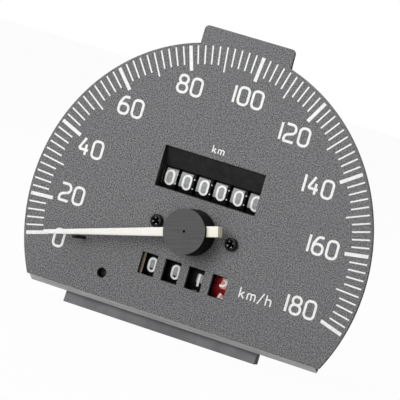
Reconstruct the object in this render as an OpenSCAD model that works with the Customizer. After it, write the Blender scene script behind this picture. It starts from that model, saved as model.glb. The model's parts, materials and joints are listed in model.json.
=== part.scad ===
// Vintage magnetic speedometer: dial, pointer, two drum counters and the movement behind them.
// The dial faces -Y, +Z is up. The origin is on the pointer axis, at the mouth of the cable socket.
// Most sub-parts are drawn in the dial frame: X right, Y behind the dial's face, Z above the pointer.

/* [Dial] */
// Radius of the dial plate
dial_r = 49.7; // [46:0.1:54]
// Thickness of the dial plate
dial_t = 1.0; // [0.6:0.1:1.2]
// Height from the fold at the bottom of the dial up to the pointer axis
dial_drop = 23.4; // [23:0.1:26]
// Radius of the dial's centre hole
dial_bore_r = 2.6; // [1.4:0.1:4]
// Width of the tab on top of the dial
tab_w = 26.6; // [15:0.1:40]
// Height of the tab's top edge above the pointer axis
tab_top = 52.9; // [51:0.1:58]
// Corner radius of the tab
tab_round = 1.3; // [0.5:0.1:1.8]
// Length of the folded lip
lip_l = 2.8; // [1.5:0.1:3.2]
// Turn of the folded lip away from the dial's plane
lip_turn = 57; // [40:1:75]
// Width of the folded lip
lip_w = 85.8; // [70:0.1:87]
// Inner radius of the fold between the dial and its lip
fold_r = 0.4; // [0.2:0.1:0.8]
// Width of the odometer window
odo_window_w = 29.6; // [26:0.1:31]
// Height of the odometer window
odo_window_h = 10.85; // [9:0.05:11]
// Height of the odometer window's middle above the pointer axis
odo_window_z = 14.28; // [13.5:0.01:15]
// Sideways place of the odometer window's middle
odo_window_x = 0.05; // [-0.3:0.05:0.3]
// Width of one trip window
trip_window_w = 4.5; // [3:0.05:5]
// Height of one trip window
trip_window_h = 5.7; // [4:0.05:6.5]
// Sideways shift of the trip windows from their drums' middles
trip_window_x = -0.1; // [-0.3:0.05:0.3]
// Sideways place of the reset hole
reset_x = -22.6; // [-26:0.1:-22.2]
// Height of the reset hole
reset_z = -17.5; // [-18:0.1:-16.5]
// Radius of the reset hole
reset_hole_r = 1.25; // [0.8:0.05:1.5]
// Distance between the two dial screws
screw_spacing = 22.2; // [18:0.1:26]

/* [Pointer] */
// Radius of the pointer's tip
pointer_tip_r = 41.5; // [36:0.1:46]
// Radius of the pointer's tail end
pointer_tail_r = 9.2; // [7.5:0.1:12]
// Width of the blade where it leaves the hub
pointer_root_w = 2.35; // [1.6:0.05:2.8]
// Width of the blade's tip
pointer_tip_w = 1.05; // [0.6:0.05:1.5]
// Width of the tail
pointer_tail_w = 2.8; // [2.4:0.05:3.6]
// Height of the pointer's underside above the dial
pointer_lift = 3.1; // [2.5:0.1:4]
// Thickness of the pointer at the tail
pointer_h = 2.8; // [2:0.1:3.4]
// Thickness of the blade's tip
pointer_tip_h = 1.1; // [0.6:0.1:1.6]
// Base radius of the hub
hub_r = 6.1; // [5.6:0.1:7]
// Face radius of the hub
hub_face_r = 6.0; // [5:0.05:6.05]
// Gap between the hub and the dial
hub_gap = 0.5; // [0.3:0.1:1]
// Thickness of the hub over the pointer
hub_cover = 1.0; // [0.6:0.1:1.5]
// Swing of the pointer from zero to full scale
sweep = 212; // [180:1:240]
// Distance from the pointer axis to the stop pin
stop_at = 31.8; // [24:0.1:36]
// Radius of the stop pin
stop_r = 0.5; // [0.3:0.05:0.8]
// Radius of the pointer spindle
spindle_r = 0.75; // [0.6:0.05:0.9]

/* [Counters] */
// Radius of the number drums
drum_r = 7.9; // [7.5:0.1:8]
// Height of the odometer axis
odo_z = 11.7; // [11.5:0.1:12.5]
// Depth of the odometer drums' front
odo_front = 3.2; // [3.1:0.1:4]
// Spacing of the odometer drums
odo_pitch = 5.12; // [5.05:0.01:5.3]
// Width of an odometer drum
odo_drum_w = 4.1; // [3.8:0.05:4.15]
// Height of the trip axis
trip_z = -11.6; // [-12.4:0.1:-11.5]
// Depth of the trip drums' front
trip_front = 2.6; // [2.5:0.1:3.4]
// Spacing of the trip drums and windows
trip_pitch = 7.0; // [6.8:0.05:7.3]
// Width of a trip drum
trip_drum_w = 5.4; // [4.8:0.05:5.5]
// Sideways place of both counters' middle
counter_x = 0.15; // [-0.3:0.05:0.3]
// Width of the ring of teeth on a drum's side
ring_w = 0.6; // [0.4:0.05:0.65]
// Pitch radius of the ring of teeth
ring_r = 6.9; // [6.5:0.05:7]
// Radius of the rods that carry the drums
rod_r = 1.0; // [0.8:0.05:1.2]
// Radius of the rods that carry the transfer pinions
pinion_rod_r = 0.7; // [0.5:0.05:0.8]
// Radius of a transfer pinion's hub
pinion_hub_r = 1.3; // [1.1:0.05:1.4]
// Turn of the transfer pinions round the drums, from straight behind
pinion_turn = 55; // [48:1:60]
// Wall of the drums
drum_wall = 0.9; // [0.7:0.1:1.2]
// Radius of the thrust washers beside the first drums
washer_r = 7.4; // [6:0.1:7.6]
// Thickness of the odometer's thrust washer
odo_washer_t = 0.3; // [0.2:0.05:0.6]
// Thickness of the trip counter's thrust washer
trip_washer_t = 0.9; // [0.6:0.05:1.2]
// Thickness of the odometer's mask
mask_t = 0.45; // [0.3:0.05:0.5]

/* [Frame] */
// Clear width between the frame's middle and each cheek
cheek_x = 17; // [16.6:0.1:18]
// Thickness of the cheeks
cheek_t = 1.5; // [1.2:0.1:2]
// Height of the cheeks above the pointer axis
cheek_top = 24.4; // [24:0.1:27]
// Thickness of the front plate and the rear plate
plate_t = 1.8; // [1.4:0.1:2.4]
// Left reach of the foot
foot_left = 33; // [28:0.1:38]
// Right reach of the foot
foot_right = 24.6; // [22:0.1:30]
// Depth of the foot's front edge
foot_front = 3.9; // [3.7:0.1:5]
// Thickness of the foot
foot_t = 2.9; // [2.2:0.1:4]
// Depth of the ledge along the foot's front
ledge_d = 2.4; // [1.6:0.1:4]
// Narrowing of the foot on each side behind its ledge, for each millimetre of depth
foot_taper = 0.5; // [0.3:0.05:0.6]
// Gap between the folded lip and the foot, measured down
foot_gap = 0.4; // [0.2:0.1:0.8]
// Radius of the frame pillars
pillar_r = 2.2; // [1.8:0.1:2.4]
// Distance between the two mounting holes
mount_spacing = 50; // [48:0.5:56]
// Radius of the mounting holes
mount_r = 2.1; // [1.5:0.05:2.6]

/* [Drive] */
// Radius of the speed cup
cup_r = 10.2; // [9.6:0.1:10.6]
// Length of the speed cup
cup_l = 4.6; // [4:0.1:6]
// Wall of the speed cup
cup_wall = 0.6; // [0.4:0.05:0.8]
// Radial air gap on both sides of the speed cup's wall
air_gap = 0.7; // [0.5:0.05:0.9]
// Wall of the flux cup
flux_wall = 0.9; // [0.7:0.1:1.2]
// Radius of the drive shaft
shaft_r = 2.0; // [1.8:0.1:2.4]
// Outer radius of the socket for the cable
socket_r = 9; // [8:0.1:10]
// Bore radius of the socket
socket_bore_r = 5; // [4.5:0.1:6]
// Depth of the open socket
socket_l = 8; // [6:0.1:10]
// Length of the drive shaft's bush
bush_l = 5; // [4:0.1:7]
// Width of the square hole for the cable's end
square_w = 2.2; // [1.8:0.1:2.4]

/* [Springs] */
// Inner radius of the hairspring
hair_in = 1.9; // [1.8:0.05:2.2]
// Spacing of the hairspring's turns
hair_pitch = 0.95; // [0.8:0.05:1.1]
// Thickness of the hairspring's strip
hair_t = 0.28; // [0.2:0.02:0.34]
// Width of the hairspring's strip
hair_w = 0.6; // [0.4:0.05:0.8]
// Number of turns of the hairspring
hair_turns = 5.25; // [4.25:1:6.25]
// Wire radius of the reset spring
coil_wire_r = 0.22; // [0.16:0.02:0.26]
// Mean radius of the reset spring
coil_r = 1.85; // [1.8:0.05:1.95]
// Number of turns of the reset spring
coil_turns = 5; // [4:1:6]

/* [Reset] */
// Radius of the reset plunger
plunger_r = 1.4; // [1.2:0.05:1.5]
// Travel of the reset plunger
plunger_travel = 3; // [2:0.1:3]
// Radius of the reset comb's shaft
comb_r = 1.4; // [1.2:0.05:1.5]
// Depth of the reset comb's shaft
comb_depth = 6.5; // [6.3:0.1:7]
// Height of the reset comb's shaft above the foot
comb_rise = 3.3; // [3:0.1:3.6]

/* [Hidden] */
$fn = 48;

// Clearances: a pressed or bolted seat, a running bearing, and open air between moving pieces
seat_gap = 0.02;
run_gap = 0.05;
free_gap = 0.4;

// Depths behind the dial's face
plate_room = 1.6;
odo_y = odo_front + drum_r;
trip_y = trip_front + drum_r;
plate_y = max(odo_y, trip_y) + drum_r + plate_room;
plate_back = plate_y + plate_t;
hair_room = 0.7;
cheek_front = dial_t + 0.6;
hair_y = plate_back + hair_room;
cup_web_t = 0.7;
cup_y = hair_y + hair_w + hair_room;
cup_back = cup_y + cup_l;
magnet_y = cup_y + cup_web_t + free_gap;
magnet_r = cup_r - cup_wall - air_gap;
magnet_back = cup_back + air_gap;
flux_r = cup_r + air_gap + flux_wall;
flux_back = magnet_back + flux_wall;

// Worm stage: a one-start worm on the drive shaft turns a cross shaft
wheel_teeth = 20;
wheel_module = 0.36;
wheel_r = wheel_teeth * wheel_module / 2;
wheel_tip = wheel_r + wheel_module;
wheel_w = 1.6;
worm_pitch = PI * wheel_module;
worm_r = shaft_r - 0.35;
worm_turns = 4;
worm_y = flux_back + wheel_tip + free_gap;
cross_y = worm_y;
cross_z = worm_r + wheel_r;
cross_r = 0.9;
rear_y = worm_y + wheel_tip + free_gap;
rear_back = rear_y + plate_t;
socket_flange_t = 2;
socket_mouth = rear_back + socket_flange_t + bush_l + socket_l;
face_y = -socket_mouth;

// Spur gears from the cross shaft to both counters, in two planes outside the right cheek
counter_teeth = 50;
idler_teeth = 17;
small_teeth = 8;
first_teeth = 40;
counter_gap = norm([odo_y - trip_y, odo_z - trip_z]);
second_module = counter_gap / (counter_teeth + idler_teeth);
second_gap = second_module * (counter_teeth + small_teeth) / 2;
train_gap = norm([cross_y - odo_y, cross_z - odo_z]);
train_turn = atan2(cross_z - odo_z, cross_y - odo_y);
first_gap = train_gap - second_gap;
first_module = 2 * first_gap / (first_teeth + small_teeth);
layshaft_y = odo_y + second_gap * cos(train_turn);
layshaft_z = odo_z + second_gap * sin(train_turn);
counter_turn = atan2(trip_z - odo_z, trip_y - odo_y);
idler_y = (odo_y + trip_y) / 2;
idler_z = (odo_z + trip_z) / 2;
outer_x = cheek_x + cheek_t;
near_x = outer_x + 0.5;
gear_w = 1.5;
far_x = near_x + gear_w + 0.5;
bridge_x = far_x + gear_w + 0.6;
bridge_t = 1.4;
arbor_r = 0.9;

// A gear's first tooth points along Y. The next gear's turn follows from the mesh along a line.
function meshed(turn_a, teeth_a, teeth_b, line) =
    let (step = 360 / teeth_a, late = line - turn_a - step * floor((line - turn_a) / step))
    line + 180 + 180 / teeth_b + late * teeth_a / teeth_b;
worm_wheel_turn = -90 + 180 / wheel_teeth;
cross_pinion_turn = train_turn + 180;
layshaft_wheel_turn = meshed(cross_pinion_turn, small_teeth, first_teeth, train_turn + 180);
layshaft_pinion_turn = train_turn + 180;
odo_wheel_turn = meshed(layshaft_pinion_turn, small_teeth, counter_teeth, train_turn + 180);
idler_turn = meshed(odo_wheel_turn, counter_teeth, idler_teeth, counter_turn);
trip_wheel_turn = meshed(idler_turn, idler_teeth, counter_teeth, counter_turn);

// Transfer pinions beside the drums' rings of teeth
ring_teeth = 20;
pinion_teeth = 8;
pinion_hub_side = 0.9;
ring_module = 2 * ring_r / ring_teeth;
pinion_gap = ring_module * (ring_teeth + pinion_teeth) / 2;
odo_pinion_y = odo_y + pinion_gap * cos(pinion_turn);
odo_pinion_z = odo_z + pinion_gap * sin(pinion_turn);
trip_pinion_y = trip_y + pinion_gap * cos(pinion_turn);
trip_pinion_z = trip_z - pinion_gap * sin(pinion_turn);
ring_turn = 180 + 180 / ring_teeth;
odo_count = 6;
trip_count = 4;
function odo_x(i) = counter_x + odo_pitch * (i - (odo_count + 1) / 2);
function trip_x(i) = counter_x + trip_pitch * (i - (trip_count + 1) / 2);

// Foot, lip and reset comb
lip_y = lip_l * sin(lip_turn);
lip_z = -dial_drop - lip_l * cos(lip_turn);
foot_top = lip_z - foot_gap;
comb_z = foot_top + comb_rise;
comb_arm = reset_z - comb_z;
comb_swing = 2 * asin(plunger_travel / 2 / comb_arm);
finger_reach = norm([trip_y - comb_depth, trip_z - comb_z]) - 5.6;
finger_line = atan2(trip_z - comb_z, trip_y - comb_depth);
finger_t = 0.6;
finger_side = 0.15;
prong_side = 0.25;
comb_tip_room = 0.6;
prong_t = 0.7;
collar_r = 2.2;
prong_w = 1.2;
prong_gap = 0.55;
collar_t = 1;
collar_back = comb_depth - comb_r * 0.6 - comb_arm * sin(comb_swing / 2) - prong_gap;
guide_y = comb_depth + comb_r * 0.6 + comb_arm * sin(comb_swing / 2) + 0.6;
guide_t = 2.4;
stop_collar_y = guide_y + guide_t + 0.1;
coil_start = stop_collar_y + collar_t + 0.3;
coil_end = plate_y - 0.3;

// Pointer heights in front of the dial, its rest, and the stop pin under the blade's edge
rest_turn = 90 + sweep / 2;
pointer_top = pointer_lift + pointer_h;
hub_top = pointer_top + hub_cover;
blade_run = pointer_tip_r - hub_r;
blade_w_at_stop = pointer_root_w - (pointer_root_w - pointer_tip_w) * (stop_at - hub_r) / blade_run;
stop_side = blade_w_at_stop / 2 + stop_r + 0.1;
stop_h = pointer_top + 0.6;
post_r = 2.4;
screw_r = 0.95;
screw_head_r = 1.75;
screw_head_h = 1.3;
screw_edge = 0.5;
dial_screw_l = 6;
pillar_screw_bite = 4;

module in_frame() translate([0, face_y, 0]) children();
module behind(y0, y1) translate([0, y1, 0]) rotate([90, 0, 0]) linear_extrude(y1 - y0) children();
module across(x0, x1) translate([x0, 0, 0]) rotate([90, 0, 90]) linear_extrude(x1 - x0) children();
module rod_y(x, z, y0, y1, r) translate([x, y0, z]) rotate([-90, 0, 0]) cylinder(h = y1 - y0, r = r);
module rod_x(y, z, x0, x1, r) translate([x0, y, z]) rotate([0, 90, 0]) cylinder(h = x1 - x0, r = r);
module spun_y(x, z, points) translate([x, 0, z]) rotate([-90, 0, 0]) rotate_extrude() polygon(points);
module spun_x(y, z, points) translate([0, y, z]) rotate([0, 90, 0]) rotate_extrude() polygon(points);
module block(x0, x1, y0, y1, z0, z1) translate([x0, y0, z0]) cube([x1 - x0, y1 - y0, z1 - z0]);

// Involute gear outline with stub teeth that leave some backlash
pressure = 20;
tooth_share = 0.84;
tip_share = 0.8;
root_share = 1.15;
function involute(a) = tan(a) * 180 / PI - a;
function flank(r, pitch_r, teeth) =
    let (base = pitch_r * cos(pressure), at = max(r, base))
    90 / teeth * tooth_share + involute(pressure) - involute(acos(base / at));
function polar(r, a) = [r * cos(a), r * sin(a)];
module gear_outline(teeth, module_size, turn) {
    pitch_r = teeth * module_size / 2;
    radii = [pitch_r - root_share * module_size, pitch_r, pitch_r + tip_share * module_size];
    polygon([
        for (i = [0 : teeth - 1], s = [-1, 1], k = [0 : 2])
            let (r = radii[s < 0 ? k : 2 - k])
            polar(r, turn + i * 360 / teeth + s * flank(r, pitch_r, teeth))
    ]);
}

// Cross-recess pan-head screw along +Y, head to the front, its seat at depth y
module screw_y(x, z, y, l) {
    rod_y(x, z, y, y + l, screw_r);
    difference() {
        spun_y(x, z, [
            [0, y - screw_head_h], [screw_head_r - screw_edge, y - screw_head_h],
            [screw_head_r, y - screw_head_h + screw_edge], [screw_head_r, y], [0, y]
        ]);
        cross_recess(x, z, y - screw_head_h);
    }
}
module cross_recess(x, z, y) {
    arm = 2 * screw_head_r * 0.55;
    slot = 0.45;
    for (w = [[arm, slot], [slot, arm]])
        block(x - w[0] / 2, x + w[0] / 2, y - 0.1, y + 0.6, z - w[1] / 2, z + w[1] / 2);
}

// Painted dial with its tab, windows and folded lip
tab_root = 6;
module dial_outline() {
    difference() {
        circle(dial_r, $fn = 180);
        translate([-dial_r, -2 * dial_r - dial_drop]) square(2 * dial_r);
    }
    hull() {
        for (s = [-1, 1])
            translate([s * (tab_w / 2 - tab_round), tab_top - tab_round]) circle(tab_round);
        translate([-tab_w / 2, dial_r - tab_root]) square([tab_w, 1]);
    }
}
module dial_plate() color("#646467") in_frame() {
    difference() {
        behind(0, dial_t) dial_outline();
        rod_y(0, 0, -1, dial_t + 1, dial_bore_r);
        for (s = [-1, 1]) rod_y(s * screw_spacing / 2, 0, -1, dial_t + 1, screw_r + run_gap);
        rod_y(reset_x, reset_z, -1, dial_t + 1, reset_hole_r);
        stop_pin_at() rod_y(0, 0, -1, dial_t + 1, stop_r + seat_gap);
        odo_w = odo_window_w / 2;
        odo_h = odo_window_h / 2;
        block(odo_window_x - odo_w, odo_window_x + odo_w, -1, dial_t + 1,
            odo_window_z - odo_h, odo_window_z + odo_h);
        for (i = [1 : trip_count])
            translate([trip_x(i) + trip_window_x, 0, trip_z])
                block(-trip_window_w / 2, trip_window_w / 2, -1, dial_t + 1,
                    -trip_window_h / 2, trip_window_h / 2);
        block(-lip_w / 2, lip_w / 2, -1, dial_t + 1, -dial_drop - 1, fold_reach - dial_drop);
    }
    lip();
}
fold_reach = (fold_r + dial_t) * tan(lip_turn / 2);
module lip() {
    inward = [dial_t * cos(lip_turn), dial_t * sin(lip_turn)];
    fold_y = fold_reach * sin(lip_turn);
    fold_z = -dial_drop - fold_reach * cos(lip_turn);
    translate([-lip_w / 2, dial_t + fold_r, fold_reach - dial_drop]) rotate([-90, 0, 0]) rotate([0, 90, 0])
        rotate_extrude(angle = lip_turn) translate([fold_r, 0]) square([dial_t, lip_w]);
    across(-lip_w / 2, lip_w / 2) polygon([
        [fold_y, fold_z], [lip_y, lip_z], [lip_y + inward[0], lip_z + inward[1]],
        [fold_y + inward[0], fold_z + inward[1]]
    ]);
}
module dial_screws() color("#161616") in_frame()
    for (s = [-1, 1]) screw_y(s * screw_spacing / 2, 0, 0, dial_screw_l);
module stop_pin_at() rotate([0, -rest_turn, 0]) translate([stop_at, 0, stop_side]) children();
module stop_pin() color("#141414") in_frame() stop_pin_at() {
    rod_y(0, 0, -stop_h, dial_t, stop_r);
    rod_y(0, 0, dial_t, dial_t + 0.5, stop_r * 2);
}

// Black mask that slopes from the odometer window's top edge to the drums
mask_edge = 2.9;
mask_side = 0.4;
mask_flange = 3;
module odometer_mask() color("#323234") in_frame() {
    top = odo_window_z + odo_window_h / 2;
    edge_z = odo_z + mask_edge;
    edge_y = odo_y - sqrt(pow(drum_r, 2) - pow(edge_z - odo_z, 2)) - free_gap - mask_t;
    half = odo_window_w / 2 + mask_side;
    across(odo_window_x - half, odo_window_x + half) polygon([
        [dial_t, top + mask_flange], [dial_t, top], [edge_y, edge_z], [edge_y + mask_t, edge_z],
        [dial_t + mask_t, top + mask_t / 2], [dial_t + mask_t, top + mask_flange]
    ]);
}

// Cast chassis: front plate, two cheeks, foot, guide lug and idler stud in one piece
cheek_toe = 6;
boss_root = 5;
boss_nose = 3;
module cheek_outline(back) polygon([
    [foot_front, foot_top], [cheek_front, foot_top + cheek_toe], [cheek_front, cheek_top - chamfer],
    [cheek_front + chamfer, cheek_top], [plate_back, cheek_top], [plate_back, layshaft_z + boss_root],
    [back, layshaft_z + boss_nose], [back, layshaft_z - boss_nose],
    [plate_back, layshaft_z - boss_root], [plate_back, foot_top]
]);
guide_half = 2.9;
tenon_r = 1.2;
foot_draft = 0.3;
chamfer = 2.4;
plate_cut = 3;
wing_rise = 8;
boss_wall = 2.2;
module foot() {
    ledge_back = foot_front + ledge_d;
    across(-foot_left, foot_right) polygon([
        [foot_front, foot_top - foot_t], [foot_front + foot_draft, foot_top],
        [ledge_back, foot_top], [ledge_back, foot_top - foot_t]
    ]);
    near = foot_taper * ledge_d / 2;
    far = foot_taper * (rear_back - foot_front);
    translate([0, 0, foot_top - foot_t]) linear_extrude(foot_t) polygon([
        [near - foot_left, ledge_back - ledge_d / 2], [foot_right - near, ledge_back - ledge_d / 2],
        [foot_right - far, rear_back], [far - foot_left, rear_back]
    ]);
}
module chassis() color("#8d8d8f") in_frame() {
    difference() {
        union() {
            behind(plate_y, plate_back) polygon([
                [-outer_x, cheek_top - plate_cut], [-outer_x + plate_cut, cheek_top],
                [outer_x - plate_cut, cheek_top], [outer_x, cheek_top - plate_cut],
                [outer_x, foot_top], [reset_x - guide_half, foot_top],
                [reset_x - guide_half, reset_z + guide_half], [-outer_x, reset_z + wing_rise]
            ]);
            across(-outer_x, -cheek_x) cheek_outline(plate_back);
            across(cheek_x, cheek_x + cheek_t) cheek_outline(layshaft_y + boss_wall);
            foot();
            block(reset_x - guide_half, -cheek_x, guide_y, guide_y + guide_t,
                reset_z - guide_half, reset_z + guide_half);
            rod_x(idler_y, idler_z, cheek_x + cheek_t / 2, near_x + gear_w + 0.3, arbor_r);
        }
        rod_y(0, 0, plate_y - 1, plate_back + 1, tube_r + seat_gap);
        rod_y(reset_x, reset_z, guide_y - 1, plate_back + 1, plunger_r + run_gap);
        for (s = [-1, 1]) rod_y(s * screw_spacing / 2, 0, plate_y - 1, plate_back + 1, tenon_r + seat_gap);
        for (p = pillar_places) rod_y(p[0], p[1], plate_y - 1, plate_back + 1, tenon_r + seat_gap);
        rod_x(odo_y, odo_z, -outer_x - 1, 0, rod_r + seat_gap);
        rod_x(trip_y, trip_z, -outer_x - 1, 0, rod_r + seat_gap);
        for (a = [[odo_y, odo_z], [trip_y, trip_z]])
            rod_x(a[0], a[1], 0, outer_x + 1, sleeve_r + run_gap);
        for (a = [[odo_pinion_y, odo_pinion_z], [trip_pinion_y, trip_pinion_z]])
            rod_x(a[0], a[1], -outer_x - 1, outer_x + 1, pinion_rod_r + seat_gap);
        rod_x(comb_depth, comb_z, -outer_x - 1, outer_x + 1, comb_r + run_gap);
        rod_x(layshaft_y, layshaft_z, 0, outer_x + 1, arbor_r + run_gap);
        for (p = bridge_places) rod_x(p[0], p[1], 0, outer_x + 1, screw_r + run_gap);
        for (p = spring_stud_place) rod_y(p[0], p[1], plate_y - 1, plate_back + 1, stud_r + seat_gap);
    }
}

// Turned pillars that carry the dial, with a spigot in the front plate
post_bore_room = 3;
module dial_pillars() color("#c2a356") in_frame() for (s = [-1, 1]) {
    x = s * screw_spacing / 2;
    difference() {
        union() {
            rod_y(x, 0, dial_t, plate_y, post_r);
            rod_y(x, 0, plate_y, plate_back, tenon_r);
        }
        rod_y(x, 0, dial_t - 1, dial_screw_l + post_bore_room, screw_r + run_gap);
    }
}

// Long bearing tube of the pointer spindle, pressed into the front plate
tube_r = post_r + 0.5;
module spindle_tube() color("#b8964a") in_frame() spun_y(0, 0, [
    [spindle_r + run_gap, dial_t + 1.4], [tube_r - 0.5, dial_t + 1.4], [tube_r, dial_t + 1.9],
    [tube_r, plate_back], [spindle_r + run_gap, plate_back]
]);

// Pillars between the plates, rear plate with its ears, and their screws
pillar_x = 14;
pillar_up = 16;
pillar_down = -17;
pillar_places = [
    [-pillar_x, pillar_up], [pillar_x, pillar_up], [-pillar_x, pillar_down], [pillar_x, pillar_down]
];
module frame_pillars() color("#b9b9bb") in_frame() for (p = pillar_places) difference() {
    union() {
        rod_y(p[0], p[1], plate_back, rear_y, pillar_r);
        rod_y(p[0], p[1], plate_y, plate_back, tenon_r);
    }
    rod_y(p[0], p[1], rear_y - pillar_screw_bite - 1, rear_y + 1, screw_r + run_gap);
}
lug_x = 6.5;
lug_t = 2;
lug_half = 2.4;
module rear_outline() {
    half = pillar_x + 4.5;
    ear = mount_spacing / 2;
    ear_r = 5;
    top = pillar_up + 5;
    cut = 3;
    translate([-half, foot_top]) square([2 * half, top - cut - foot_top]);
    polygon([[-half, top - cut - 1], [half, top - cut - 1], [half, top - cut], [half - cut, top],
        [cut - half, top], [-half, top - cut]]);
    translate([-ear, -ear_r]) square([2 * ear, 2 * ear_r]);
    for (s = [-1, 1]) translate([s * ear, 0]) circle(ear_r);
}
module rear_plate() color("#a9aaac") in_frame() difference() {
    union() {
        behind(rear_y, rear_back) rear_outline();
        across(-lug_x, -lug_x + lug_t) polygon([
            [rear_y, cross_z - lug_half - 1.6], [rear_y, cross_z + lug_half + 1.6],
            [cross_y - lug_half, cross_z + lug_half], [cross_y - lug_half, cross_z - lug_half]
        ]);
    }
    rod_y(0, 0, rear_y - 1, rear_back + 1, spigot_r + seat_gap);
    rod_x(cross_y, cross_z, -lug_x - 1, 0, cross_r + run_gap);
    for (p = pillar_places) rod_y(p[0], p[1], rear_y - 1, rear_back + 1, screw_r + run_gap);
    for (a = flange_turns) rod_y(flange_screw_at * cos(a), flange_screw_at * sin(a),
        rear_y - 1, rear_back + 1, screw_r + run_gap);
    for (s = [-1, 1]) rod_y(s * mount_spacing / 2, 0, rear_y - 1, rear_back + 1, mount_r);
}
module rear_screw(x, z, y, l) translate([x, y, z]) rotate([180, 0, 0]) screw_y(0, 0, 0, l);
module pillar_screws() color("#9b9c9e") in_frame()
    for (p = pillar_places) rear_screw(p[0], p[1], rear_back, plate_t + pillar_screw_bite);

// Cable socket with its flange, bush and three screws
spigot_r = 4.4;
flange_r = socket_r + 5;
flange_screw_at = socket_r + 2.5;
flange_turns = [90, 210, 330];
bush_r = shaft_r + 1.4;
module cable_socket() color("#a3a4a6") in_frame() difference() {
    spun_y(0, 0, [
        [bush_r + seat_gap, rear_y], [spigot_r, rear_y], [spigot_r, rear_back], [flange_r, rear_back],
        [flange_r, rear_back + socket_flange_t], [socket_r, rear_back + socket_flange_t],
        [socket_r, socket_mouth - 0.6], [socket_r - 0.6, socket_mouth], [socket_bore_r, socket_mouth],
        [socket_bore_r, socket_mouth - socket_l], [bush_r + seat_gap, socket_mouth - socket_l]
    ]);
    for (a = flange_turns) rod_y(flange_screw_at * cos(a), flange_screw_at * sin(a),
        rear_back - 1, rear_back + socket_flange_t + 1, screw_r + run_gap);
}
module socket_screws() color("#9b9c9e") in_frame() for (a = flange_turns)
    rear_screw(flange_screw_at * cos(a), flange_screw_at * sin(a),
        rear_back + socket_flange_t, socket_flange_t + plate_t);
module drive_bush() color("#a87f45") in_frame() spun_y(0, 0, [
    [shaft_r + run_gap, rear_y], [bush_r, rear_y],
    [bush_r, socket_mouth - socket_l], [shaft_r + run_gap, socket_mouth - socket_l]
]);

// Hairspring: a flat spiral strip whose turns follow a formula
hair_steps = 24;
hair_points = [
    for (i = [0 : hair_turns * hair_steps])
        let (a = i * 360 / hair_steps) [hair_in + hair_pitch * a / 360, a]
];
hair_end = hair_points[len(hair_points) - 1];
hair_out = hair_end[0];
stud_r = 0.6;
spring_stud_place = [polar(hair_out + stud_r + free_gap, hair_end[1])];
echo(hairspring_least_gap = hair_pitch - hair_t);
module hairspring() color("#b98b52") in_frame() behind(hair_y, hair_y + hair_w) polygon(concat(
    [for (p = hair_points) polar(p[0] - hair_t / 2, p[1])],
    [for (i = [len(hair_points) - 1 : -1 : 0]) polar(hair_points[i][0] + hair_t / 2, hair_points[i][1])]
));
module spring_stud() color("#bdbdbd") in_frame() for (p = spring_stud_place) {
    rod_y(p[0], p[1], plate_y, hair_y + hair_w + 0.2, stud_r);
}

// Rods of the drums and of the transfer pinions
module odometer_rod() color("#cfd0d2") in_frame()
    rod_x(odo_y, odo_z, -outer_x, near_x + gear_w + 0.2, rod_r);
module trip_rod() color("#cfd0d2") in_frame()
    rod_x(trip_y, trip_z, -outer_x, bridge_x + bridge_t, rod_r);
module odometer_pinion_rod() color("#cfd0d2") in_frame()
    rod_x(odo_pinion_y, odo_pinion_z, -outer_x, outer_x, pinion_rod_r);
module trip_pinion_rod() color("#cfd0d2") in_frame()
    rod_x(trip_pinion_y, trip_pinion_z, -outer_x, outer_x, pinion_rod_r);

// Brass sleeves from the left cheek to the first drums, each with a thrust washer on its end
sleeve_wall = 0.8;
module washer_sleeve(y, z, drum_left, t) spun_x(y, z, [
    [rod_r + seat_gap, -cheek_x], [rod_r + sleeve_wall, -cheek_x], [rod_r + sleeve_wall, drum_left - t],
    [washer_r, drum_left - t], [washer_r, drum_left], [rod_r + seat_gap, drum_left]
]);
module odometer_washer() color("#b8964a") in_frame()
    washer_sleeve(odo_y, odo_z, odo_x(1) - odo_drum_w / 2 - side_gap, odo_washer_t);
module trip_washer() color("#b8964a") in_frame()
    washer_sleeve(trip_y, trip_z, trip_x(1) - trip_drum_w / 2 - side_gap, trip_washer_t);

// Outer bridge of the gear train, with three pillars to the right cheek
bridge_post_r = 1.7;
bridge_rim = 5;
bridge_shoulder = 4;
bridge_nose = 3;
bridge_toe = 2.4;
bridge_places = [
    [cheek_front + 3.4, cheek_top - 2.6], [plate_back - 2, idler_z - 6], [plate_y - 1.5, trip_z - 10]
];
module gear_bridge() color("#b7a06a") in_frame() difference() {
    union() {
        across(bridge_x, bridge_x + bridge_t) polygon([
            [bridge_places[0][0] - bridge_nose, cheek_top],
            [bridge_places[0][0] + bridge_shoulder, cheek_top],
            [layshaft_y + bridge_shoulder, layshaft_z + bridge_rim],
            [cross_y + bridge_toe, cross_z + bridge_nose], [cross_y + bridge_toe, cross_z - bridge_nose],
            [layshaft_y, idler_z - bridge_shoulder],
            [bridge_places[2][0] + bridge_toe, bridge_places[2][1] - bridge_toe],
            [trip_y - bridge_nose, bridge_places[2][1] - bridge_toe], [trip_y - bridge_rim, trip_z],
            [idler_y - bridge_rim, idler_z], [odo_y - bridge_rim, odo_z]
        ]);
        for (p = bridge_places) rod_x(p[0], p[1], outer_x, bridge_x, bridge_post_r);
    }
    rod_x(trip_y, trip_z, bridge_x - 1, bridge_x + bridge_t + 1, rod_r + seat_gap);
    rod_x(layshaft_y, layshaft_z, bridge_x - 1, bridge_x + bridge_t + 1, arbor_r + run_gap);
    rod_x(cross_y, cross_z, bridge_x - 1, bridge_x + bridge_t + 1, cross_r + run_gap);
    for (p = bridge_places) rod_x(p[0], p[1], cheek_x, bridge_x + bridge_t + 1, screw_r + run_gap);
}
module bridge_screws() color("#9b9c9e") in_frame() for (p = bridge_places)
    translate([bridge_x + bridge_t, p[0], p[1]]) rotate([0, 0, 90])
        screw_y(0, 0, 0, bridge_x + bridge_t - cheek_x);

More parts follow.
